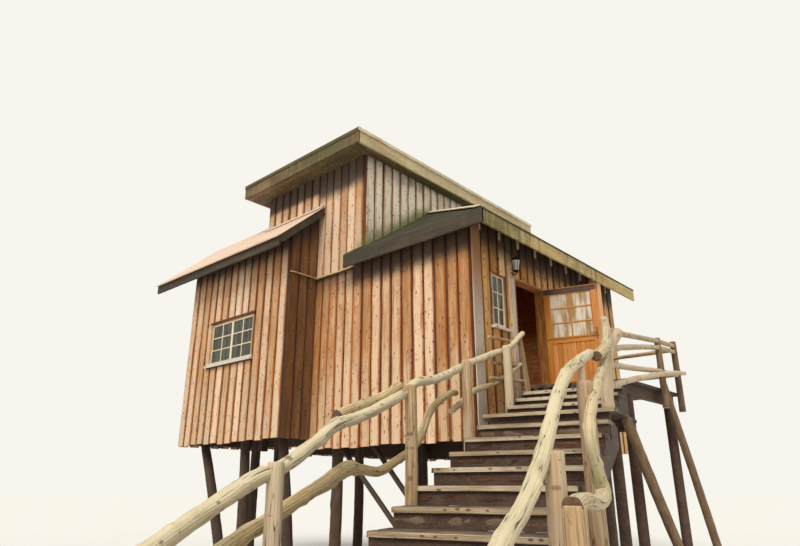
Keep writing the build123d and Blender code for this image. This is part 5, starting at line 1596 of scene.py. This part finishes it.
@dataclass
class Railings:
    """Peeled crooked branches on log posts beside the stair and round the porch."""

    house: House
    stair: StairFrame
    left_line: float = -0.2247
    landing_line: float = -0.3847
    right_line: float = -2.2253
    thick_line: float = -2.30
    lower_line: float = -0.0994
    post: float = 0.075
    lean: float = 0.06
    flight_start: float = -6.34
    flight_slope: float = 0.205 / 0.5
    landing_level: float = 2.665

    def __post_init__(self) -> None:
        """Finds the line of the porch's railing and the places of its two posts."""
        self.porch_line = least("porch_deck").y - .0603
        self.porch_posts = (self.house.front_x + 3.25, (least("porch_post").x + most("porch_post").x) / 2)

    def branch(self, pile: Pile, route: Sequence[Point], radii: Sequence[float], knots: float = 3.6,
               ends: int = 1) -> None:
        """Adds a crooked branch given in the stair frame, whose sawn ends take the slot ends."""
        pile.log([self.stair.at(*point) for point in route], radii, self.stair.left(), 16, 0.035, 0.15, knots,
                 (0, ends))

    def level(self, route: Sequence[Point], u: float) -> float:
        """Level of a rail's heart at a place along the flight."""
        for start, end in zip(route, route[1:]):
            if start[0] <= u <= end[0]:
                return start[2] + (end[2] - start[2]) * (u - start[0]) / (end[0] - start[0])
        return route[-1][2]

    def upright(self, pile: Pile, u: float, v: float, foot: float, top: float, radius: float) -> None:
        """Adds an upright post, a little bent, cut level at its top."""
        bend = pile.rng.uniform(-.015, .015)
        middle = (foot + top) / 2
        pile.log([self.stair.at(u, v, foot), self.stair.at(u + bend, v - bend / 2, middle),
                  self.stair.at(u, v, top)], [radius * 1.02, radius * .96, radius * .92], self.stair.left(),
                 14, .07, .05, 0.9, flat=True)

    def left_side(self) -> None:
        """The left railing with its spare log."""
        line, low, landing = self.left_line, self.lower_line, self.landing_line
        handrail = [(-6.62, line, 1.12), (-6.03, line + .02, 1.39), (-5.45, line, 1.665),
                    (-5.1, line - .02, 1.78), (-4.614, line, 2.01), (-4.267, line + .02, 2.19),
                    (-3.83, line, 2.316), (-3.195, line - .015, 2.552), (-2.804, line, 2.7),
                    (-2.59, line, 2.83), (-1.88, line + .02, 2.993), (-0.87, line, 3.35),
                    (0.1, line - .07, 3.68), (0.565, landing, 3.84), (1.01, landing - .14, 4.185)]
        radii = [.07, .068, .064, .06, .058, .062, .058, .06, .054, .058, .054, .052, .052, .05, .046]
        pile = Pile("left_branch_rails", 401)
        self.branch(pile, handrail, radii)
        self.branch(pile, [(-4.14, line + .1, 2.3), (-3.7, line + .108, 2.44), (-3.2, line + .098, 2.6),
                           (-2.84, line + .092, 2.765)], [.058, .052, .054, .05], ends=2)
        self.branch(pile, [(-6.5, low, .76), (-5.491, low, 1.213), (-5.061, low + .015, 1.359),
                           (-4.665, low, 1.52), (-4.333, low - .01, 1.64), (-3.9, low, 1.8),
                           (-3.64, low, 1.8), (-3.233, low + .01, 1.785), (-2.909, low, 1.893),
                           (-2.499, low, 2.043), (-2.156, low + .01, 2.277), (-1.9, low, 2.59),
                           (-1.281, low, 2.87), (-1.06, low, 2.905)],
                    [.07, .068, .064, .064, .068, .078, .056, .05, .048, .05, .052, .05, .044, .042])
        self.branch(pile, [(-1.24, low, 2.63), (-.922, low, 2.77), (-.331, low - .01, 3.037),
                           (.332, low - .15, 3.254), (1.0, landing - .08, 3.64)],
                    [.044, .046, .044, .04, .036])
        pile.finished((Finish.PEELED, Finish.SAWN, Finish.SAWN_DARK), "pale_log", "left_rails")
        posts = Pile("left_log_posts", 402)
        for u in (-6.45, -5.23, -2.855, -1.09):
            foot = max(0.0, (u - self.flight_start) * self.flight_slope - .35)
            self.upright(posts, u, line - self.lean, foot, self.level(handrail, u) + self.post, self.post)
        self.upright(posts, .3, landing - self.lean, self.landing_level, self.level(handrail, .3) + self.post,
                     self.post)
        posts.finished((Finish.GREY_POST, Finish.SAWN), "pale_log", "left_rail_posts")

    def right_side(self) -> None:
        """The right railing, the forked post and the crooked outer branch."""
        line, thick = self.right_line, self.thick_line
        near = thick - .18
        fork_u, fork_v = -.2, -2.05
        handrail = [(-6.55, line, .7), (-6.0, line - .015, .985), (-5.44, line, 1.288),
                    (-4.93, line + .015, 1.48), (-4.52, line, 1.75), (-4.14, line - .01, 2.085),
                    (-3.71, line, 2.42), (-3.15, line + .01, 2.725), (-2.28, line, 3.03),
                    (-1.96, line + .005, 3.11)]
        pile = Pile("right_branch_rails", 403)
        self.branch(pile, handrail, [.074, .072, .07, .066, .068, .064, .06, .06, .056, .052], 2.0)
        self.branch(pile, [(-2.06, line - .07, 3.055), (-1.1, line - .04, 3.37),
                           (fork_u + .13, fork_v - .06, 3.69)], [.064, .06, .054])
        outer = [(-4.6, near, 1.49), (-4.15, near + .01, 1.53), (-3.65, near, 1.5), (-3.29, near + .03, 1.58),
                 (-3.39, near + .04, 1.78), (-3.5, near + .055, 2.06), (-3.15, near + .085, 2.35),
                 (-2.43, near + .13, 2.69), (-1.3, near + .215, 3.2), (fork_u - .25, near + .32, 3.64),
                 (fork_u + .13, fork_v - .06, 3.85)]
        self.branch(pile, outer, [.078, .062, .066, .072, .058, .054, .058, .054, .052, .05, .046], 2.2)
        pile.finished((Finish.PEELED, Finish.SAWN_DARK), "pale_log", "right_rails")
        posts = Pile("right_log_posts", 404)
        thin_u = -2.768
        for u, v, radius, top in (
                (-6.45, line, .075, self.level(handrail, -6.45)), (-4.3, thick, .09, 1.89),
                (-2.9, thick, .09, 2.64), (thin_u, thick + .042, .042, self.level(handrail, thin_u)),
                (-4.55, near, .1, self.level(outer, -4.55))):
            self.upright(posts, u, v, 0.0, top, radius)
        posts.finished((Finish.GREY_POST, Finish.SAWN), "pale_log", "right_rail_posts")
        fork = Pile("forked_log_post", 405)
        for points, radii, rough, knots, flat in (
                (((0, 0, self.landing_level), (0, 0, 2.9), (.09, -.04, 3.27), (.15, -.07, 3.64),
                  (.12, -.05, 4.01)), [.095, .092, .084, .074, .056], .08, 2.0, True),
                (((.13, -.06, 3.52), (.33, -.12, 3.7), (.5, -.17, 3.85)), [.068, .076, .082], .06, 1.0,
                 False)):
            fork.log([self.stair.at(fork_u + u, fork_v + v, w) for u, v, w in points], radii,
                     self.stair.left(), 16, .05, rough, knots, flat=flat)
        fork.finished((Finish.GREY_POST, Finish.SAWN), "pale_log", "forked_post")

    def porch_rails(self) -> None:
        """Rails along the porch's edge and across its far end, and their posts."""
        line, front_x = self.porch_line, self.house.front_x
        post_x, end_x = self.porch_posts
        outer = line - .1043
        start = self.stair.at(-.11, -2.09, 0)
        pile = Pile("porch_branch_rails", 406)
        for y, levels in ((line, (3.835, 4.015, 4.165, 4.21)), (line, (3.515, 3.795, 4.045, 4.09)),
                          (line, (3.315, 3.465, 3.605, 3.64)), (outer, (2.99, 3.265, 3.56, 3.68))):
            pile.log([(start.x, start.y, levels[0]), (front_x + 1.68, y - .015, levels[1]),
                      (post_x, y, levels[2]), (end_x + .09, y, levels[3])], [.044, .048, .044, .038], UP, 12,
                     .06, .08, 1.2)
        for level in (3.65, 4.13):
            pile.log([(end_x, line, level), (end_x, least("porch_post").y, level)], [.038, .038], UP, 12, .06,
                     .06, 0.8)
        pile.finished((Finish.GREY_POST, Finish.SAWN), "pale_log", "porch_rails")
        posts = Pile("porch_log_posts", 407)
        foot = least("porch_rail_posts").z
        for x, top in ((post_x, 4.22), (end_x, 4.29)):
            posts.log([(x, line, foot), (x + .01, line, (foot + top) / 2), (x, line, top)],
                      [.061, .058, .055], (0, 1, 0), 12, .07, .05, 0.8, flat=True)
        posts.finished((Finish.BROWN_LOG, Finish.SAWN), "pale_log", "porch_rail_posts")

    def porch_struts(self) -> None:
        """The two leaning logs that carry the porch's edge from the ground."""
        line, deck_low = self.porch_line, least("landing_deck").z
        pile = Pile("porch_leaning_logs", 408)
        for points, radii in (
                (((2.9, line - .08, 0), (1.9, line - .07, 1.25), (.82, line - .08, deck_low)),
                 [.075, .08, .081]),
                (((4.825, line, 0), (3.8, line - .01, 1.75), (self.porch_posts[0], line, 3.4)),
                 [.081, .07, .06])):
            pile.log(points, radii, (0, 1, 0), 12, .1, .06, 0.5, flat=True)
        pile.finished((Finish.BROWN_LOG, Finish.SAWN_DARK), "dark_log", "porch_struts")

    def rack(self) -> None:
        """The rack beside the door: a leaning board with three poles to the wall's corner."""
        board_y, pole_y = least("door_rack").y + .05, most("door_rack").y - .028
        front_x, lean, foot = self.house.front_x, .185, 3.1525
        foot_x = front_x + 1.25
        pile = Pile("door_rack_poles", 409)
        pile.plank((foot_x - .0475, board_y, foot), (foot_x - lean - .0475, board_y, 4.1), (0, -1, 0), .095,
                   .05, .004, .006)
        for level in (3.29, 3.54, 3.96):
            pile.log([(front_x + .13, pole_y, level), (foot_x - lean / 2, pole_y, level + .06)], [.028, .028],
                     UP, 10, .07, .07, 1.0)
        pile.finished((Finish.GREY_POST, Finish.SAWN), "pale_log", "door_rack")

    def build(self) -> None:
        """Builds every railing, the porch's struts and the rack."""
        self.left_side()
        self.right_side()
        self.porch_rails()
        self.porch_struts()
        self.rack()


@dataclass
class UnderStructure:
    """Log posts and leaning braces below the house and its bay."""

    house: House
    post: float = 0.115
    bay_inset: float = 0.35

    def build(self) -> None:
        """Builds the logs below the house."""
        h, top = self.house, least("floor_bearers").z
        posts = Pile("house_log_posts", 501)
        for x in (0.0, 2.45, 4.9):
            for y in (0.0, 3.3, 5.2):
                posts.log([(x, y, 0), (x + .02, y - .01, top / 2), (x, y, top)], [self.post, .112, .108],
                          (0, 1, 0), 16, .12, .06, 0.3, flat=True)
        bay_x = h.bay_x + self.bay_inset
        for place, lean in ((.4, -.45), (1.65, -.15), (3.35, -1.25)):
            y = h.bay_y + place
            posts.log([(bay_x, y + lean, 0), (bay_x + .02, y + lean / 2, top / 2), (bay_x, y, top)],
                      [.112, .105, .093], (1, 0, 0), 16, .12, .07, 0.4, flat=True)
        far_x, far_y = h.bay_back_x - self.bay_inset, h.bay_y + 3.35
        posts.log([(far_x, far_y, 0), (far_x, far_y + .01, top / 2), (far_x, far_y, top)],
                  [self.post, .112, .11], (0, 1, 0), 16, .12, .06, 0.3, flat=True)
        posts.finished((Finish.DARK_LOG, Finish.SAWN_DARK), "dark_log", "support_posts")
        braces = Pile("leaning_log_braces", 502)
        for x, foot_y, top_y in ((0, .7, 3.7), (.101, .15, 2.85)):
            braces.log([(x, foot_y, 0), (x, (foot_y + top_y) / 2, top / 2 + .02), (x, top_y, top)],
                       [.05, .048, .046], (1, 0, 0), 12, .1, .07, 0.5, flat=True)
        braces.finished((Finish.DARK_LOG, Finish.SAWN_DARK), "dark_log", "leaning_braces")


# Joinery


@dataclass
class Joinery:
    """Windows, the door frame, the lantern and the squared porch post."""

    house: House
    sash: float = 0.06
    bar: float = 0.022
    casing: float = 0.03
    jamb: float = 0.034

    def window(self, pile: Pile, place: Matrix, hole: Opening, sashes: int) -> None:
        """Builds a window in its own plane: x across, y inwards and z up.

        Args:
            pile: The pile that takes it, with the casing on slot 0 and the sashes on slot 1.
            place: Its lower left corner, seen from outside.
            hole: The opening that it fills.
            sashes: Number of sashes side by side, each of two by three panes.
        """
        def member(x0: float, z0: float, x1: float, z1: float, wide: float, back: float, thick: float,
                   slot: int = 1) -> None:
            """Adds a straight member; back is the depth of its back behind the wall's face."""
            start, end = place @ Vector((x0, back, z0)), place @ Vector((x1, back, z1))
            pile.plank(start, end, place.to_3x3() @ Vector((0, -1, 0)), wide, thick, 0.0, 0.003, slot=slot)

        width, height = hole.end - hole.start, hole.high - hole.low
        casing, stile = self.casing, self.sash - self.casing
        for x in (casing / 2, width - casing / 2):
            member(x, 0, x, height, casing, 0.045, 0.07, 0)
        for z in (casing / 2, height - casing / 2):
            member(casing, z, width - casing, z, casing, 0.045, 0.07, 0)
        each = (width - 2 * casing) / sashes
        clear_w, clear_h = each - 2 * stile, height - 2 * (casing + stile)
        for index in range(sashes):
            left = casing + index * each
            right = left + each
            for x in (left + stile / 2, right - stile / 2):
                member(x, casing, x, height - casing, stile, 0.04, 0.052)
            for z in (casing + stile / 2, height - casing - stile / 2):
                member(left + stile, z, right - stile, z, stile, 0.04, 0.052)
            x = left + stile + clear_w / 2
            member(x, casing + stile, x, height - casing - stile, self.bar, 0.01, 0.014)
            for bar in (1, 2):
                z = casing + stile + clear_h * bar / 3
                member(left + stile, z, right - stile, z, self.bar, 0.01, 0.012)

    def windows(self) -> None:
        """The bay window and the narrow one beside the door."""
        h = self.house
        bay, side = h.bay_window, h.side_window
        pile = Pile("window_joinery", 601)
        bay_place = Matrix(((0, 1, 0, h.bay_x), (-1, 0, 0, bay.end), (0, 0, 1, bay.low), (0, 0, 0, 1)))
        self.window(pile, bay_place, bay, 2)
        self.window(pile, Matrix.Translation((side.start, h.side_y, side.low)), side, 1)
        pile.finished((Finish.BROWN_JOINERY, Finish.CREAM), "joinery", "window_frames")
        sills = Pile("window_sill_boards", 602)
        for proud, level, over, facing, width, thick, edge in (
                (.045, bay.low - .045, .06, (-.12, 0, 1), .13, .045, .005),
                (.036, bay.low + .025, .04, (-1, 0, 0), .06, .012, .003)):
            x = h.bay_x - proud
            sills.plank((x, bay.start - over, level), (x, bay.end + over, level), facing, width, thick, .003,
                        edge)
        y, level = h.side_y - .04, side.low - .045
        sills.plank((side.start - .06, y, level), (side.end + .06, y, level), (0, -.12, 1), .12, .045, .003,
                    .005)
        # Dark strips above the bay window's head and below its sill: painted shade lines
        for level, width, thick in ((bay.high + .02, .04, .016), (bay.low - .06, .03, .03)):
            x = h.bay_x - .038
            sills.plank((x, bay.start - .04, level), (x, bay.end + .04, level), (-1, 0, 0), width, thick,
                        .003, .003, slot=1)
        sills.finished((Finish.CORNER, Finish.SIDING_GAP_SHADE), "joinery", "window_sills")

    def door_frame(self) -> None:
        """Jambs and head round the doorway, with an outer casing board."""
        h, jamb = self.house, self.jamb
        low, high = least("door_frame"), most("door_frame")
        pile = Pile("door_frame_boards", 603)
        depth = high.y - low.y
        for x in (low.x + jamb / 2, high.x - jamb / 2):
            pile.plank((x, high.y, low.z), (x, high.y, high.z - jamb), (0, -1, 0), jamb, depth, edge=.003)
        level = high.z - jamb / 2
        pile.plank((low.x, high.y, level), (high.x, high.y, level), (0, -1, 0), jamb, depth, edge=.003)
        x, y = low.x - .06, h.side_y - .038
        pile.plank((x, y, h.floor - .3), (x, y, high.z + .02), (0, -1, 0), .11, .02, .004, slot=1)
        pile.finished((Finish.BROWN_JOINERY, Finish.CORNER), "joinery", "door_frame")
        low, high = least("porch_post"), most("porch_post")
        x = (low.x + high.x) / 2
        post = Pile("porch_squared_post", 604)
        post.plank((x, high.y, low.z), (x, high.y, high.z), (0, -1, 0), high.x - low.x, high.y - low.y, .003,
                   .01)
        post.finished((Finish.PINE_POST,), "joinery", "porch_post")

    def lantern(self) -> None:
        """A small iron wall lantern with a scroll bracket."""
        low, high = least("lantern_glass"), most("lantern_glass")
        centre, wall = (low + high) / 2, self.house.side_y
        pile = Pile("lantern_ironwork", 605)

        def turned(level: float, profile: Sequence[tuple[float, float]]) -> None:
            """Spins a profile of radius and height above a level about the lantern's axis."""
            piece = bmesh.new()
            verts = [piece.verts.new((centre.x + r, centre.y, level + z)) for r, z in profile]
            edges = [piece.edges.new(pair) for pair in zip(verts, verts[1:])]
            bmesh.ops.spin(piece, geom=verts + edges, cent=(centre.x, centre.y, 0), axis=(0, 0, 1),
                           dvec=(0, 0, 0), angle=math.tau, steps=16, use_merge=True)
            bmesh.ops.remove_doubles(piece, verts=piece.verts, dist=1e-5)
            bmesh.ops.recalc_face_normals(piece, faces=piece.faces)
            for face in piece.faces:
                face.smooth = True
            pile.take(piece, Matrix.Identity(4))

        turned(high.z, [(.001, .1), (.012, .095), (.016, .08), (.03, .066), (.06, .045), (.094, .006),
                        (.09, 0), (.07, .004), (.001, .006)])
        turned(low.z, [(.001, 0), (.05, 0), (.054, -.008), (.045, -.022), (.02, -.03), (.012, -.045),
                       (.001, -.05)])
        for index in range(6):
            turn = index * math.tau / 6
            side = Vector((math.cos(turn), math.sin(turn), 0))
            foot, top = centre + side * .047, centre + side * .077
            pile.log([(foot.x, foot.y, low.z), (top.x, top.y, high.z)], [.0035, .0035], side, 6, .1, 0.0)
        arm = [(wall - .008, .02), (wall - .05, -.01), (wall - .11, -.06), (centre.y + .01, -.075),
               (centre.y - .02, -.05), (centre.y, -.03)]
        pile.log([(centre.x, y, low.z + z) for y, z in arm], [.008] * 6, (1, 0, 0), 8, .02, 0.0)
        ring = [(centre.x, wall - .06 + .035 * math.cos(a), low.z - .09 + .035 * math.sin(a))
                for a in (i * math.tau / 10 for i in range(10))]
        pile.log(ring + ring[:1], [.006] * 11, (1, 0, 0), 8, .02, 0.0)
        pile.plank((centre.x, wall, low.z - .14), (centre.x, wall, low.z + .12), (0, -1, 0), .048, .008,
                   edge=.002)
        pile.finished((Finish.IRON, Finish.IRON), "iron", "lantern_metal")

    def build(self) -> None:
        """Builds the fixed joinery."""
        self.windows()
        self.door_frame()
        self.lantern()


@dataclass
class DoorLeaf:
    """The glazed leaf with its glazing bars and its boarded panel."""

    hinge: Vector
    angle: float = math.radians(105)
    face: float = 0.0095
    thickness: float = 0.045
    gap: float = 0.006
    width: float = 1.0
    foot: float = 0.012
    top: float = 1.97
    stile: float = 0.105
    top_rail: float = 0.11
    mid_rail: float = 0.105
    bottom_rail: float = 0.15
    glass_height: float = 0.87
    bar: float = 0.026
    bead: float = 0.016
    board: float = 0.018
    boards: int = 9

    def __post_init__(self) -> None:
        """Works out the leaf's directions, its clear opening and the levels of its glass."""
        self.along = Vector((-math.cos(self.angle), -math.sin(self.angle), 0))
        self.inward = Vector((self.along.y, -self.along.x, 0))
        self.left, self.right = self.gap + self.stile, self.gap + self.width - self.stile
        self.glass_top = self.top - self.top_rail
        self.glass_foot = self.glass_top - self.glass_height

    def at(self, x: float, out: float, z: float) -> Vector:
        """A point on the leaf: x from the pin, out from its outer face inwards, z above the floor."""
        return self.hinge + self.along * x + self.inward * (self.face + out) + UP * z

    def strip(self, pile: Pile, x: tuple[float, float], z: tuple[float, float], out: float, width: float,
              thickness: float, edge: float, facing: int = 1, slot: int = 0) -> None:
        """Adds a straight strip of the leaf, whose back lies at the depth out behind the outer face."""
        pile.plank(self.at(x[0], out, z[0]), self.at(x[1], out, z[1]), self.inward * facing, width, thickness,
                   edge=edge, slot=slot)

    def frame(self) -> None:
        """Stiles and rails of full thickness, with the dark board on the top rail."""
        pile = Pile("door_leaf_frame", 701)
        left, right, stile, depth = self.left, self.right, self.stile, self.thickness
        for x in (left - stile / 2, right + stile / 2):
            self.strip(pile, (x, x), (self.foot, self.top), 0, stile, depth, .003)
        for z, width in ((self.top - self.top_rail / 2, self.top_rail),
                         (self.glass_foot - self.mid_rail / 2, self.mid_rail),
                         (self.foot + self.bottom_rail / 2, self.bottom_rail)):
            self.strip(pile, (left, right), (z, z), 0, width, depth, .003)
        ends = (left - stile + .004, right + stile - .004)
        for z, width, thickness, slot in ((self.top - self.top_rail / 2 - .004, self.top_rail - .02, .009, 1),
                                          (self.top - .006, .012, .014, 0)):
            self.strip(pile, ends, (z, z), depth, width, thickness, .002, slot=slot)
        pile.finished((Finish.PINE, Finish.DOOR_TOP), "door_wood", "door_leaf", body=LEAF)

    def bars(self) -> None:
        """Glazing bars and beads on both sides of the glass, and the weather strip below it."""
        pile = Pile("door_glazing_bars", 702)
        left, right, foot, top = self.left, self.right, self.glass_foot, self.glass_top
        for out, facing in ((self.thickness / 2 + .0035, 1), (self.thickness / 2 - .0035, -1)):
            middle = left + (right - left) / 2
            self.strip(pile, (middle, middle), (foot, top), out, self.bar, .013, .003, facing)
            for share in (1 / 3, 2 / 3):
                z = foot + self.glass_height * share
                self.strip(pile, (left, right), (z, z), out, self.bar, .012, .003, facing)
            for z in (foot + self.bead / 2, top - self.bead / 2):
                self.strip(pile, (left, right), (z, z), out, self.bead, .013, .004, facing)
            for x in (left + self.bead / 2, right - self.bead / 2):
                self.strip(pile, (x, x), (foot, top), out, self.bead, .013, .004, facing)
        ends = (left - self.stile + .01, right + self.stile - .01)
        self.strip(pile, ends, (foot - .012, foot - .012), self.thickness, .024, .012, .004)
        pile.finished((Finish.PINE,), "door_wood", body=LEAF)

    def panel(self) -> None:
        """Upright boards of the panel below the glass."""
        pile = Pile("door_panel_boards", 703)
        width = (self.right - self.left) / self.boards
        levels = (self.foot + self.bottom_rail, self.glass_foot - self.mid_rail)
        for index in range(self.boards):
            x = self.left + (index + .5) * width
            self.strip(pile, (x, x), levels, (self.thickness - self.board) / 2, width - .002, self.board,
                       .004)
        pile.finished((Finish.PINE,), "door_wood", "door_panel", body=LEAF)

    def build(self) -> None:
        """Builds the leaf."""
        self.frame()
        self.bars()
        self.panel()


# Frame nodes that stay, and the studio

KEPT_NODES: dict[Finish, tuple[str, ...]] = {
    Finish.INSIDE: ("front_wall", "upper_front_wall", "bay_front_wall", "bay_return_wall", "bay_end_wall",
                    "bay_back_wall", "entrance_wall_left", "entrance_wall_over_door",
                    "entrance_wall_under_door", "entrance_wall_right", "right_end_wall", "back_wall",
                    "upper_side_wall", "floor_deck"),
    Finish.FRAMEWORK: ("floor_joists", "floor_bearers", "deck_beams", "stair_stringers", "stair_risers",
                       "upper_step_frame", "deck_logs", "main_soffit", "main_roof", "entrance_roof",
                       "bay_roof"),
    Finish.IRON: ("door_hinge_pins",),
    Finish.BRASS: ("door_hardware",),
    Finish.GLASS: ("window_glass",),
    Finish.DOOR_GLASS: ("door_glass",),
    Finish.FROSTED: ("lantern_glass",),
}


def dress_frame() -> None:
    """Gives each frame node that stays its finish."""
    for kind, names in KEPT_NODES.items():
        for name in names:
            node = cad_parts[name]
            if node.hide_render:
                continue
            node.data.materials.clear()
            node.data.materials.append(shop.finish(kind))
            log.info("%s: kept with %s", name, kind.value.name)


@dataclass
class Studio:
    """A pale floor, a white surrounding, two soft lamps and the camera."""

    camera_place: Point = (-8.573, -6.162, 1.628)
    heading: float = 42.2
    tilt: float = 19.2
    lens: float = 27.63
    sensor: float = 36.0
    far: float = 500.0
    floor_size: float = 150.0
    floor_level: float = -0.002
    world_light: float = 0.62
    sun_light: float = 2.7
    sun_spread: float = 28.0
    sun_colour: tuple[float, float, float] = (1.0, 0.97, 0.92)
    sun_aim: Point = (0.64, 0.22, -0.74)
    room_light: float = 90.0
    room_size: float = 1.6
    room_colour: tuple[float, float, float] = (1.0, 0.92, 0.82)
    room_place: Point = (2.4, 2.0, 5.4)

    def placed(self, name: str, data: bpy.types.ID) -> bpy.types.Object:
        """Puts a lamp, a camera or a mesh into the scene."""
        piece = bpy.data.objects.new(name, data)
        bpy.context.scene.collection.objects.link(piece)
        return piece

    def aimed(self, piece: bpy.types.Object, aim: Vector) -> None:
        """Turns a lamp or a camera towards a direction."""
        piece.rotation_mode = "QUATERNION"
        piece.rotation_quaternion = aim.to_track_quat("-Z", "Y")

    def floor(self) -> None:
        """A large pale floor."""
        sheet = bmesh.new()
        bmesh.ops.create_grid(sheet, x_segments=8, y_segments=8, size=self.floor_size)
        mesh = bpy.data.meshes.new("studio_floor")
        sheet.to_mesh(mesh)
        sheet.free()
        piece = self.placed("studio_floor", mesh)
        piece.location.z = self.floor_level
        graph = Graph("studio_floor")
        colour = graph.mix(graph.noise(graph.own_place(), 0.6), srgb(226, 225, 221), srgb(232, 231, 227))
        graph.surface(Base_Color=colour, Roughness=1.0, Specular_IOR_Level=0.0)
        mesh.materials.append(graph.material)

    def world(self) -> None:
        """The world's light, which is white where the camera, a reflection or a pane shows it."""
        world = bpy.data.worlds.new("studio_world")
        bpy.context.scene.world = world
        world.use_nodes = True
        graph = Graph("studio_world", world.node_tree)
        path = graph.node("ShaderNodeLightPath", {}, {}, "Is Camera Ray")
        seen = path.most(path.output("Is Glossy Ray")).most(path.output("Is Transmission Ray"))
        background = graph.tree.nodes["Background"]
        graph.wire(background.inputs["Strength"], self.world_light + seen * (1.0 - self.world_light))
        graph.wire(background.inputs["Color"], srgb(247, 245, 237))

    def lamps(self) -> None:
        """One soft sun, and a warm lamp inside the house."""
        sun = bpy.data.lights.new("studio_sun", "SUN")
        sun.energy, sun.angle, sun.color = self.sun_light, math.radians(self.sun_spread), self.sun_colour
        self.aimed(self.placed("studio_sun", sun), Vector(self.sun_aim))
        glow = bpy.data.lights.new("room_light", "AREA")
        glow.energy, glow.size, glow.color = self.room_light, self.room_size, self.room_colour
        room = self.placed("room_light", glow)
        room.location = self.room_place
        room.visible_camera = room.visible_transmission = room.visible_glossy = False

    def camera(self) -> None:
        """The camera at the photograph's place."""
        data = bpy.data.cameras.new("photo_camera")
        data.lens, data.sensor_width, data.clip_end = self.lens, self.sensor, self.far
        camera = self.placed("photo_camera", data)
        camera.location = self.camera_place
        turn, rise = math.radians(self.heading), math.radians(self.tilt)
        aim = Vector((math.cos(turn) * math.cos(rise), math.sin(turn) * math.cos(rise), math.sin(rise)))
        self.aimed(camera, aim)
        bpy.context.scene.camera = camera

    def build(self) -> None:
        """Sets up the studio."""
        bpy.context.scene.view_settings.view_transform = "Standard"
        self.floor()
        self.world()
        self.lamps()
        self.camera()


def main() -> None:
    """Builds the tree house and the studio in order."""
    logging.basicConfig(level=logging.INFO, format="%(name)s %(message)s")
    house = House()
    stair = StairFrame(Vector((house.front_x, house.side_y, 0)))
    Cladding(house).build()
    Roofs(house).build()
    Flight(house, stair).build()
    Railings(house, stair).build()
    UnderStructure(house).build()
    Joinery(house).build()
    DoorLeaf(Vector((house.pin_x, house.pin_y, house.floor))).build()
    dress_frame()
    Studio().build()


if __name__ == "__main__":
    main()
